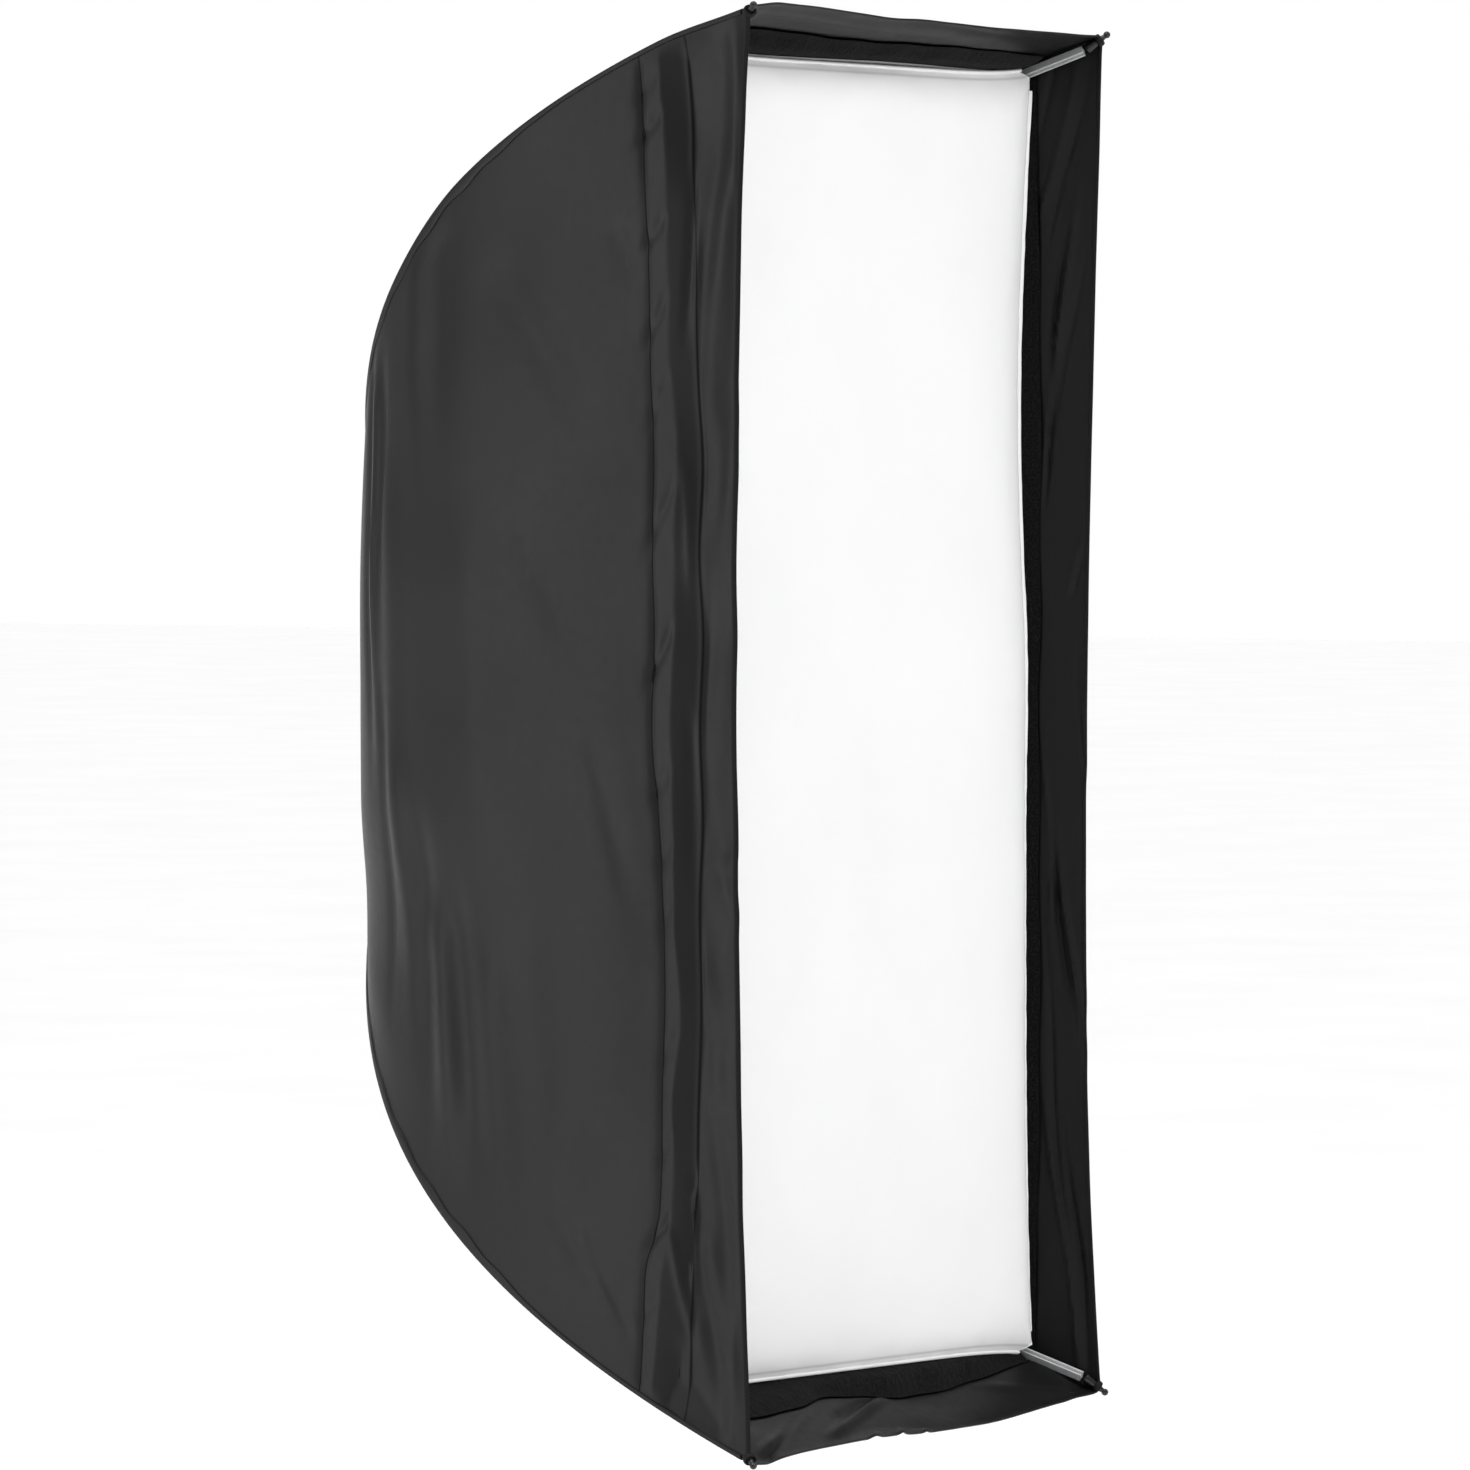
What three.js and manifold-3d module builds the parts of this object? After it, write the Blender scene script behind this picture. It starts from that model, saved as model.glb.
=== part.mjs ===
// A strip softbox on a four-rib umbrella frame: a black fabric shell with a deep dome back, stretched by four
// steel ribs, with a removable white diffuser recessed in its front rim.
//
// Millimetres. +Z is up, X runs across, and the front rim faces -Y. The origin is on the shaft's axis, at the
// place where a light stand's umbrella holder grips the shaft. A depth is a distance behind the front rim.
//
// Every side (right, top, left, bottom) and every rib is built in one local frame: X points away from the
// shaft, Y runs to the back along it, and Z is across. Turning that frame about Y puts the piece in place.
import * as THREE from "three";
import { mergeVertices } from "three/addons/utils/BufferGeometryUtils.js";
import Module from "manifold-3d";

const wasm = await Module();
wasm.setup();

// ---------------------------------------------------------------- driving dimensions

const HALF_WIDTH = 203.2; // 16 in across the front rim
const HALF_HEIGHT = 381; // 30 in up the front rim
const SHELL_DEPTH = 326; // front rim to the back of the fabric
const SHELL_POWER = 3.4; // how boxy the curve from the back to the rim is
const GRIP_DEPTH = 85; // front rim to the origin
const GAP = 0.3; // left between pieces that touch

const FABRIC = 1.6; // wall of the shell
const RIM_DEPTH = 4; // the fabric ends this far behind the plane of the tips
const CROWN_HOLE = 0.04; // the hole at the back, as a share of the front rim

const RIB_ANGLE = THREE.MathUtils.degToRad(62.2); // between a rib's plane and X
const RIB_INSET = 5; // rib to the fabric, across
const RIB_DEPTH = 319; // front rim to the ribs' pivots
const RIB_WIDTH = 4.4;
const RIB_HEIGHT = 4;
const RIB_END_DEPTH = 11; // where the steel ends and the plastic end begins
const TIP_STEP = 1.6; // from the end of the steel to the plastic end, which leans outwards
const TIP_RADIUS = 2;

const GROOVE_WIDTH = 2.2; // the flute in a rib or stretcher
const GROOVE_FLOOR = 0.6; // its floor, above the channel's middle line
const TONGUE_WIDTH = 2.4; // the flattened end of a rib or stretcher
const TONGUE_LENGTH = 14; // a tongue's pivot to its end inside the channel
const SLOT_WIDTH = 3;
const PIN_RADIUS = 1;
const PIN_HOLE = 1.3;
const CROWN_PIVOT = 12; // shaft axis to the ribs' pivots
const RUNNER_PIVOT = 14; // shaft axis to the stretchers' pivots
const RIB_JOINT = 100; // shaft axis to the joint of rib and stretcher
const STRETCHER_LENGTH = 108;

const SHAFT_RADIUS = 4;
const SHAFT_WALL = 0.8;
const SHAFT_FRONT = 60;
const SHAFT_BACK = 323;
const CROWN_RADIUS = 17;
const CROWN_FRONT = 306;
const CROWN_BACK = 323.8;
const STUD_RADIUS = 2.8; // the crown cap's stud, which runs through the washer and the fabric
const STUD_HOLE = 3.2;
const PATCH_RADIUS = 36;
const RUNNER_RADIUS = 18;

const TAPE_FRONT = 37;
const TAPE_BACK = 75;
const TAPE = 1; // thickness of one side of the hook-and-loop tape
const DIFFUSER_DEPTH = 44;
const DIFFUSER_BACK = 66;
const DIFFUSER = 1.4;
const CORNER_MARGIN = 10; // tapes and diffuser edges stop this far short of a corner, clear of the rib

const OPENING_FRONT = 105; // the light stand's opening in the bottom
const OPENING_BACK = 215;
const OPENING_HALF = 40;
const FLAP_LAP = 8; // how far the flap covers the fabric round the opening

// ---------------------------------------------------------------- materials

function material(color, roughness, metalness = 0) {
  return new THREE.MeshStandardMaterial({ color, roughness, metalness });
}

const blackFabric = material(0x2c2c2e, 0.62);
const loopTape = material(0x0c0c0d, 0.95);
const hookTape = material(0xe8e8e6, 0.8);
const whiteFabric = material(0xf7f7f5, 0.75);
const steel = material(0xb9bbbe, 0.3, 1);
const darkSteel = material(0x6e7074, 0.35, 1);
const blackPlastic = material(0x111112, 0.45);
const rubber = material(0x19191a, 0.85);

// ---------------------------------------------------------------- helpers

const along = (depth) => depth - GRIP_DEPTH;

function solid(geometry) {
  const bare = geometry.index ? geometry.toNonIndexed() : geometry.clone();
  bare.deleteAttribute("normal");
  bare.deleteAttribute("uv");
  const merged = mergeVertices(bare, 1e-4);
  const vertProperties = new Float32Array(merged.attributes.position.array);
  const triVerts = new Uint32Array(merged.index.array);
  return new wasm.Manifold(new wasm.Mesh({ numProp: 3, vertProperties, triVerts }));
}

function geometryOf(body) {
  const mesh = body.getMesh();
  const geometry = new THREE.BufferGeometry();
  geometry.setAttribute("position", new THREE.BufferAttribute(new Float32Array(mesh.vertProperties), 3));
  geometry.setIndex(new THREE.BufferAttribute(new Uint32Array(mesh.triVerts), 1));
  geometry.computeVertexNormals();
  return geometry;
}

function cut(base, ...tools) {
  return geometryOf(tools.reduce((body, tool) => body.subtract(solid(tool)), solid(base)));
}

function join(...pieces) {
  const [first, ...others] = pieces.map(solid);
  return geometryOf(others.reduce((body, piece) => body.add(piece), first));
}

function common(a, b) {
  return geometryOf(solid(a).intersect(solid(b)));
}

const softbox = new THREE.Group();

function add(name, geometry, finish, parent = softbox) {
  const mesh = new THREE.Mesh(geometry, finish);
  mesh.name = name;
  parent.add(mesh);
  return mesh;
}

// A piece turned round the shaft's axis, from points of radius and depth: up the outside, then back inside.
function turned(profile, segments = 24) {
  const points = profile.map(([radius, depth]) => new THREE.Vector2(radius, along(depth)));
  return new THREE.LatheGeometry(points, segments);
}

function ring(inner, outer, front, back, segments = 24) {
  const profile = [
    [outer, front],
    [outer, back],
    [inner, back],
    [inner, front],
    [outer, front],
  ];
  return turned(profile, segments);
}

function box(from, to) {
  const size = to.map((high, axis) => high - from[axis]);
  const middle = to.map((high, axis) => (high + from[axis]) / 2);
  return new THREE.BoxGeometry(...size).translate(...middle);
}

// An outline in a local frame's X and Y, given a width along Z.
function slab(points, width) {
  const shape = new THREE.Shape(points);
  return new THREE.ExtrudeGeometry(shape, { depth: width, bevelEnabled: false }).translate(0, 0, -width / 2);
}

// A bar with round ends in a local frame's X and Y, from the origin along X.
function roundBar(length, radius, width) {
  const shape = new THREE.Shape();
  shape.absarc(length, 0, radius, -Math.PI / 2, Math.PI / 2);
  shape.absarc(0, 0, radius, Math.PI / 2, (3 * Math.PI) / 2);
  const options = { depth: width, bevelEnabled: false, curveSegments: 5 };
  return new THREE.ExtrudeGeometry(shape, options).translate(0, 0, -width / 2);
}

// A pin, or the hole for one, across a local frame.
function pin(x, y, radius, length) {
  return new THREE.CylinderGeometry(radius, radius, length, 10).rotateX(Math.PI / 2).translate(x, y, 0);
}

// ---------------------------------------------------------------- the shell's curve

const shareAt = (depth, fullDepth) => (1 - depth / fullDepth) ** (1 / SHELL_POWER);

// The line from the back of the shell to its rim, moved in by an inset. The share runs from 0 at the shaft to
// 1 at the rim: the span grows with it, and the depth falls with its power.
class ShellLine extends THREE.Curve {
  constructor(span, fullDepth, inset, first, last) {
    super();
    Object.assign(this, { span, fullDepth, inset, first, last });
  }
  getPoint(t) {
    const share = this.first + (this.last - this.first) * t;
    const normal = new THREE.Vector2(
      this.fullDepth * SHELL_POWER * share ** (SHELL_POWER - 1),
      this.span,
    ).normalize();
    const depth = this.fullDepth * (1 - share ** SHELL_POWER);
    return new THREE.Vector2(this.span * share, along(depth)).addScaledVector(normal, -this.inset);
  }
}

// A wall that follows the shell between two insets and two depths.
function shellWall(side, outer, inner, front, back, steps = 14) {
  const limits = [shareAt(back, SHELL_DEPTH), shareAt(front, SHELL_DEPTH)];
  const outside = new ShellLine(side.span, SHELL_DEPTH, outer, ...limits).getSpacedPoints(steps);
  const inside = new ShellLine(side.span, SHELL_DEPTH, inner, ...limits).getSpacedPoints(steps);
  return slab([...outside, ...inside.reverse()], 2 * side.across);
}

// The wedge that one side takes of the softbox, seen from the front, less a margin along its corners.
// Half 0 is the whole side, 1 and -1 are its two halves.
function wedge(side, half, margin) {
  const slope = side.across / side.span;
  const apex = margin / slope;
  const far = 2 * side.span;
  const reach = slope * (far - apex);
  const middle = GAP / 2;
  const corners =
    half === 0
      ? [
          [apex, 0],
          [far, reach],
          [far, -reach],
        ]
      : [
          [apex + middle / slope, half * middle],
          [far, half * reach],
          [far, half * middle],
        ];
  const shape = new THREE.Shape(corners.map(([x, z]) => new THREE.Vector2(x, z)));
  const options = { depth: 3 * SHELL_DEPTH, bevelEnabled: false };
  return new THREE.ExtrudeGeometry(shape, options)
    .translate(0, 0, -1.5 * SHELL_DEPTH)
    .rotateX(Math.PI / 2);
}

const UPRIGHT = { span: HALF_WIDTH, across: HALF_HEIGHT };
const LEVEL = { span: HALF_HEIGHT, across: HALF_WIDTH };
const SIDES = [
  { name: "right", turn: 0, ...UPRIGHT },
  { name: "top", turn: Math.PI / 2, ...LEVEL, halves: { left: 1, right: -1 } },
  { name: "left", turn: Math.PI, ...UPRIGHT },
  { name: "bottom", turn: 1.5 * Math.PI, ...LEVEL, halves: { left: -1, right: 1 } },
];
const CORNERS = [
  { name: "top_right", turn: RIB_ANGLE, x: 1, z: 1 },
  { name: "top_left", turn: Math.PI - RIB_ANGLE, x: -1, z: 1 },
  { name: "bottom_left", turn: Math.PI + RIB_ANGLE, x: -1, z: -1 },
  { name: "bottom_right", turn: -RIB_ANGLE, x: 1, z: -1 },
];

function turnedGroup(turn) {
  const group = new THREE.Group();
  group.rotation.y = -turn;
  softbox.add(group);
  return group;
}

// ---------------------------------------------------------------- ribs

const RIB_SPAN = HALF_WIDTH / Math.cos(RIB_ANGLE);
const RIB_SHORT = RIB_INSET / Math.cos(RIB_ANGLE);

// The middle line of a rib, moved off it towards the fabric by an offset.
class RibLine extends THREE.Curve {
  constructor(offset, first, last) {
    super();
    Object.assign(this, { offset, first, last });
  }
  getPoint(t) {
    const share = this.first + (this.last - this.first) * t;
    const normal = new THREE.Vector2(
      RIB_DEPTH * SHELL_POWER * share ** (SHELL_POWER - 1),
      RIB_SPAN,
    ).normalize();
    const depth = RIB_DEPTH * (1 - share ** SHELL_POWER);
    return new THREE.Vector2(RIB_SPAN * share - RIB_SHORT, along(depth)).addScaledVector(normal, this.offset);
  }
}

const ribShareAt = (radius) => (radius + RIB_SHORT) / RIB_SPAN;
const RIB_LAST = shareAt(RIB_END_DEPTH, RIB_DEPTH);

function ribStrip(low, high, fromRadius, width, last = RIB_LAST, steps = 16) {
  const first = ribShareAt(fromRadius);
  const outside = new RibLine(high, first, last).getSpacedPoints(steps);
  const inside = new RibLine(low, first, last).getSpacedPoints(steps);
  return slab([...outside, ...inside.reverse()], width);
}

const ribJoint = new RibLine(0, ribShareAt(RIB_JOINT), 1).getPoint(0);

// A fluted steel channel whose groove faces the shaft, with a flattened tongue at the crown.
function rib() {
  const tongueEnd = CROWN_PIVOT + TONGUE_LENGTH;
  const tongue = roundBar(TONGUE_LENGTH, RIB_HEIGHT / 2, TONGUE_WIDTH);
  tongue.translate(CROWN_PIVOT, along(RIB_DEPTH), 0);
  const channel = ribStrip(-RIB_HEIGHT / 2, RIB_HEIGHT / 2, tongueEnd - 2, RIB_WIDTH);
  const groove = ribStrip(-RIB_HEIGHT, GROOVE_FLOOR, tongueEnd + 6, GROOVE_WIDTH, RIB_LAST + 0.01);
  const crownHole = pin(CROWN_PIVOT, along(RIB_DEPTH), PIN_HOLE, RIB_WIDTH * 2);
  const jointHole = pin(ribJoint.x, ribJoint.y, PIN_HOLE, RIB_WIDTH * 2);
  return cut(join(tongue, channel), groove, crownHole, jointHole);
}

// The tip lies on the corner of the front rim, and the plastic end runs to it from the end of the steel.
function tipPlace(corner) {
  const line = new RibLine(0, RIB_LAST, 1);
  const end = line.getPoint(0).addScaledVector(line.getTangent(0), TIP_STEP);
  const upright = new THREE.Vector3(0, 1, 0);
  const start = new THREE.Vector3(end.x, end.y, 0).applyAxisAngle(upright, -corner.turn);
  const tip = new THREE.Vector3(corner.x * HALF_WIDTH, along(0), corner.z * HALF_HEIGHT);
  const direction = tip.clone().sub(start);
  const length = direction.length();
  return { start, length, turn: new THREE.Quaternion().setFromUnitVectors(upright, direction.normalize()) };
}

// A moulded end that tapers from the steel to a neck, and carries the ball.
function ribEnd(length) {
  const foot = 2.7;
  const bead = 2.9;
  const shoulder = 2;
  const neck = 1.3;
  const neckDepth = Math.sqrt(TIP_RADIUS ** 2 - neck ** 2);
  const profile = new THREE.Path();
  profile.moveTo(0, GAP);
  profile.lineTo(foot, GAP);
  profile.lineTo(bead, 4 * GAP);
  profile.lineTo(shoulder, length - 5);
  profile.lineTo(neck, length - neckDepth);
  profile.absarc(0, length, TIP_RADIUS, -Math.acos(neck / TIP_RADIUS), Math.PI / 2);
  return new THREE.LatheGeometry(profile.getPoints(3), 14);
}

// The loop of fabric that holds a corner of the shell on its rib end.
function cornerLoop(length) {
  const inner = 2.7;
  const outer = 3.6;
  const front = length - 4;
  const back = length - 7;
  const points = [
    [outer, back],
    [outer, front],
    [inner, front],
    [inner, back],
    [outer, back],
  ];
  return new THREE.LatheGeometry(points.map(([x, y]) => new THREE.Vector2(x, y)), 12);
}

// ---------------------------------------------------------------- fabric shell and its tapes

function placed(geometry, place) {
  return geometry.applyQuaternion(place.turn).translate(...place.start.toArray());
}

// Room for the plastic ends at the four corners of a side, in the side's own frame.
function tipNotches(side) {
  const radius = 5;
  const past = 7.5; // beyond the tip
  return CORNERS.map((corner) => {
    const place = tipPlace(corner);
    const length = place.length + past + 0.5;
    const notch = new THREE.CylinderGeometry(radius, radius, length, 16).translate(0, length / 2 - 0.5, 0);
    return placed(notch, place).rotateY(side.turn);
  });
}

function sidePieces(side, name, finish, makeWall, margin, tools = []) {
  const group = turnedGroup(side.turn);
  for (const [suffix, half] of Object.entries(side.halves ?? { "": 0 })) {
    const piece = common(makeWall(), wedge(side, half, margin));
    const label = [name, side.name, suffix].filter(Boolean).join("_");
    add(label, tools.length ? cut(piece, ...tools) : piece, finish, group);
  }
}

function canopy(side) {
  const back = SHELL_DEPTH * (1 - CROWN_HOLE ** SHELL_POWER);
  const tools = tipNotches(side);
  if (side.name === "bottom") {
    const opening = box(
      [HALF_HEIGHT / 2, along(OPENING_FRONT), -OPENING_HALF],
      [HALF_HEIGHT, along(OPENING_BACK), OPENING_HALF],
    );
    tools.push(opening);
  }
  sidePieces(side, "canopy", blackFabric, () => shellWall(side, 0, FABRIC, RIM_DEPTH, back), GAP / 2, tools);
}

function loopTapes(side) {
  const outer = FABRIC + GAP;
  const wall = () => shellWall(side, outer, outer + TAPE, TAPE_FRONT, TAPE_BACK, 3);
  sidePieces(side, "loop_tape", loopTape, wall, CORNER_MARGIN);
}

const HOOK_OUTER = FABRIC + TAPE + 2 * GAP;
const DIFFUSER_OUTER = HOOK_OUTER + TAPE + GAP;

function hookTapes(side) {
  const wall = shellWall(side, HOOK_OUTER, HOOK_OUTER + TAPE, DIFFUSER_DEPTH + 4, DIFFUSER_BACK + 2, 3);
  const strip = common(wall, wedge(side, 0, CORNER_MARGIN));
  add("hook_tape_" + side.name, strip, hookTape, turnedGroup(side.turn));
}

// A stretched white sheet with its four edges turned back along the walls, and its corners cut for the ribs.
function diffuser() {
  const share = shareAt(DIFFUSER_DEPTH, SHELL_DEPTH);
  const half = [HALF_WIDTH, HALF_HEIGHT].map((span) => span * share - DIFFUSER_OUTER - 2 * GAP);
  const sheet = box(
    [-half[0], along(DIFFUSER_DEPTH), -half[1]],
    [half[0], along(DIFFUSER_DEPTH + DIFFUSER), half[1]],
  );
  const edges = SIDES.map((side) => {
    const inner = DIFFUSER_OUTER + DIFFUSER;
    const wall = shellWall(side, DIFFUSER_OUTER, inner, DIFFUSER_DEPTH + 0.5, DIFFUSER_BACK, 2);
    return common(wall, wedge(side, 0, CORNER_MARGIN)).rotateY(-side.turn);
  });
  const notch = 8;
  const notches = CORNERS.map((corner) => {
    const middle = [corner.x * half[0], along(DIFFUSER_DEPTH), corner.z * half[1]];
    return new THREE.BoxGeometry(2 * notch, notch, 2 * notch).translate(...middle);
  });
  add("diffuser_panel", cut(join(sheet, ...edges), ...notches), whiteFabric);
}

function standFlap() {
  const side = SIDES.find(({ name }) => name === "bottom");
  const wall = shellWall(side, -GAP - TAPE, -GAP, OPENING_FRONT - FLAP_LAP, OPENING_BACK + FLAP_LAP, 6);
  const reach = OPENING_HALF + FLAP_LAP;
  const limits = box([0, along(0), -reach], [2 * HALF_HEIGHT, along(SHELL_DEPTH), reach]);
  add("stand_flap", common(wall, limits), blackFabric, turnedGroup(side.turn));
}

// ---------------------------------------------------------------- shaft and crown

function shaft() {
  add("shaft", ring(SHAFT_RADIUS - SHAFT_WALL, SHAFT_RADIUS, SHAFT_FRONT, SHAFT_BACK, 24), steel);
  const capRadius = 5.6;
  const capFront = SHAFT_FRONT - 5;
  const capBack = SHAFT_FRONT + 9;
  const cap = [
    [0, capFront],
    [capRadius - 1.2, capFront],
    [capRadius, capFront + 1.4],
    [capRadius, capBack],
    [SHAFT_RADIUS + GAP, capBack],
    [SHAFT_RADIUS + GAP, SHAFT_FRONT - GAP],
    [0, SHAFT_FRONT - GAP],
  ];
  add("shaft_end_cap", turned(cap), rubber);
}

// Slots for the four tongues, open outwards, and the holes for their pins.
function hubTools(pivot, depth, slotFront, slotBack) {
  const inwards = 4;
  const outwards = 10;
  const holeLength = 12;
  return CORNERS.flatMap((corner) => {
    const slot = box(
      [pivot - inwards, along(slotFront), -SLOT_WIDTH / 2],
      [pivot + outwards, along(slotBack), SLOT_WIDTH / 2],
    );
    const hole = pin(pivot, along(depth), PIN_HOLE, holeLength);
    return [slot.rotateY(-corner.turn), hole.rotateY(-corner.turn)];
  });
}

// The hub of the ribs, with a collar on the shaft.
function crown() {
  const bore = SHAFT_RADIUS + GAP;
  const collar = 9;
  const collarFront = CROWN_FRONT - 8;
  const profile = [
    [collar, collarFront],
    [collar, CROWN_FRONT],
    [CROWN_RADIUS, CROWN_FRONT],
    [CROWN_RADIUS, CROWN_BACK],
    [bore, CROWN_BACK],
    [bore, collarFront],
    [collar, collarFront],
  ];
  const tools = hubTools(CROWN_PIVOT, RIB_DEPTH, CROWN_FRONT - 1, RIB_DEPTH + RIB_HEIGHT / 2 + GAP);
  add("crown", cut(turned(profile), ...tools), blackPlastic);
}

// Behind the fabric: a patch, a washer, and a domed cap whose stud holds them on the shaft.
function crownBack() {
  const patchBack = SHELL_DEPTH + FABRIC;
  const washerFront = patchBack + GAP;
  const washerBack = washerFront + 1.2;
  add("crown_patch", ring(STUD_HOLE, PATCH_RADIUS, SHELL_DEPTH + GAP, patchBack), blackFabric);
  add("crown_washer", ring(STUD_HOLE, 17.5, washerFront, washerBack), steel);
  const base = washerBack + GAP;
  const top = base + 10.6;
  const studFront = base - 11;
  const cap = [
    [0, studFront],
    [STUD_RADIUS, studFront],
    [STUD_RADIUS, base],
    [15, base],
    [15, base + 3],
    [13.2, base + 7],
    [9.5, top - 0.8],
    [6, top],
    [0, top],
  ];
  add("crown_cap", turned(cap), blackPlastic);
}

// ---------------------------------------------------------------- runner and latch

const runnerDepth =
  ribJoint.y + GRIP_DEPTH - Math.sqrt(STRETCHER_LENGTH ** 2 - (RIB_JOINT - RUNNER_PIVOT) ** 2);
const HOUSING_RADIUS = 12.5;
const LATCH_DEPTH = runnerDepth - 15;
const LATCH_RADIUS = 3;

function runner() {
  const bore = SHAFT_RADIUS + GAP;
  const tube = 6.6;
  const front = runnerDepth - 56;
  const housingFront = runnerDepth - 25;
  const hubFront = runnerDepth - 5;
  const back = runnerDepth + 6;
  const profile = [
    [tube, front],
    [tube, housingFront],
    [HOUSING_RADIUS, housingFront],
    [HOUSING_RADIUS, hubFront],
    [RUNNER_RADIUS, hubFront],
    [RUNNER_RADIUS, back],
    [bore, back],
    [bore, front],
    [tube, front],
  ];
  const latchBore = new THREE.CylinderGeometry(LATCH_RADIUS + GAP, LATCH_RADIUS + GAP, 12, 16)
    .rotateX(Math.PI / 2)
    .translate(0, along(LATCH_DEPTH), -9);
  const tools = hubTools(RUNNER_PIVOT, runnerDepth, runnerDepth - 2.6, back + 1);
  add("runner", cut(turned(profile), latchBore, ...tools), blackPlastic);
  add("stop_collar", ring(bore, 8, back + 0.4, back + 7, 24), darkSteel);
}

function runnerSleeve() {
  const front = runnerDepth - 55;
  const back = front + 29;
  const core = 6.9;
  const valley = 8.8;
  const crest = 9.8;
  const grooves = 3;
  const pitch = (back - front) / grooves;
  const outside = Array.from({ length: grooves }, (_, count) => front + count * pitch).flatMap((depth) => [
    [valley, depth],
    [crest, depth + 1],
    [crest, depth + pitch - 1],
  ]);
  const profile = [...outside, [valley, back], [core, back], [core, front], [valley, front]];
  add("runner_sleeve", turned(profile, 20), rubber);
}

// The button that releases the runner, and the coil spring under it.
function latch() {
  const foot = 8;
  const face = 15.2;
  const rounding = 1;
  const button = new THREE.Path();
  button.moveTo(0, foot);
  button.lineTo(LATCH_RADIUS, foot);
  button.lineTo(LATCH_RADIUS, face - rounding);
  button.absarc(LATCH_RADIUS - rounding, face - rounding, rounding, 0, Math.PI / 2);
  button.lineTo(0, face);
  const body = new THREE.LatheGeometry(button.getPoints(3), 12).rotateX(-Math.PI / 2);
  add("latch_button", body.translate(0, along(LATCH_DEPTH), 0), steel);

  const turns = 3;
  const radius = 2;
  const wire = 0.35;
  const low = 4.8;
  const high = 7.3;
  const steps = 10 * turns;
  const points = Array.from({ length: steps + 1 }, (_, step) => {
    const angle = (step / steps) * turns * 2 * Math.PI;
    const height = low + ((high - low) * step) / steps;
    return new THREE.Vector3(radius * Math.cos(angle), radius * Math.sin(angle), -height);
  });
  const section = new THREE.Shape();
  section.absarc(0, 0, wire, 0, 2 * Math.PI);
  const path = new THREE.CatmullRomCurve3(points);
  const options = { steps, extrudePath: path, curveSegments: 3, bevelEnabled: false };
  const coil = new THREE.ExtrudeGeometry(section, options);
  add("latch_spring", coil.translate(0, along(LATCH_DEPTH), 0), darkSteel);
}

// ---------------------------------------------------------------- stretchers

// A steel channel with a tongue in the runner and a fork that straddles the rib.
function stretcher() {
  const forkWidth = 7.6;
  const forkSlot = RIB_WIDTH + 0.8;
  const forkDepth = 16;
  const height = RIB_HEIGHT;
  const forkStart = STRETCHER_LENGTH - forkDepth;
  const tongue = roundBar(TONGUE_LENGTH, height / 2, TONGUE_WIDTH);
  const bar = box(
    [TONGUE_LENGTH - 4, -height / 2, -RIB_WIDTH / 2],
    [forkStart - 1, height / 2, RIB_WIDTH / 2],
  );
  const fork = roundBar(forkDepth + 6, height / 2 + 0.4, forkWidth).translate(forkStart - 6, 0, 0);
  const slot = box(
    [forkStart, -height, -forkSlot / 2],
    [STRETCHER_LENGTH + height, height, forkSlot / 2],
  );
  const groove = box(
    [TONGUE_LENGTH + 4, -height, -GROOVE_WIDTH / 2],
    [forkStart - 8, GROOVE_FLOOR, GROOVE_WIDTH / 2],
  );
  const hole = pin(0, 0, PIN_HOLE, 2 * RIB_WIDTH);
  return cut(join(tongue, bar, fork), slot, groove, hole);
}

function frameCorner(corner) {
  const group = turnedGroup(corner.turn);
  add("rib_" + corner.name, rib(), steel, group);
  add("rib_pin_" + corner.name, pin(CROWN_PIVOT, along(RIB_DEPTH), PIN_RADIUS, 8.4), darkSteel, group);
  add("joint_rivet_" + corner.name, pin(ribJoint.x, ribJoint.y, PIN_RADIUS, RIB_WIDTH), darkSteel, group);
  add("runner_pin_" + corner.name, pin(RUNNER_PIVOT, along(runnerDepth), PIN_RADIUS, 9), darkSteel, group);

  const bar = add("stretcher_" + corner.name, stretcher(), steel, group);
  bar.position.set(RUNNER_PIVOT, along(runnerDepth), 0);
  bar.rotation.z = Math.atan2(ribJoint.y - along(runnerDepth), RIB_JOINT - RUNNER_PIVOT);

  const place = tipPlace(corner);
  add("rib_end_" + corner.name, placed(ribEnd(place.length), place), blackPlastic);
  add("corner_loop_" + corner.name, placed(cornerLoop(place.length), place), blackFabric);
}

// ---------------------------------------------------------------- the softbox

shaft();
crown();
crownBack();
runner();
runnerSleeve();
latch();
CORNERS.forEach(frameCorner);
SIDES.forEach(canopy);
SIDES.forEach(loopTapes);
diffuser();
SIDES.forEach(hookTapes);
standFlap();

export default softbox;
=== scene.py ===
"""A strip softbox on a four-rib umbrella frame: its looks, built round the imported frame.

Metres, in the frame's own axes: +Z up, the front rim faces -Y. A depth is a distance behind the front rim.
A share is a place on the dome's curve, from 0 at the shaft to 1 at the rim. A lean is a place across one side
of the softbox, from -1 at one rib to 1 at the next.
"""

import math

import bmesh
import bpy
import numpy as np
from mathutils import Matrix, Vector


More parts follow.
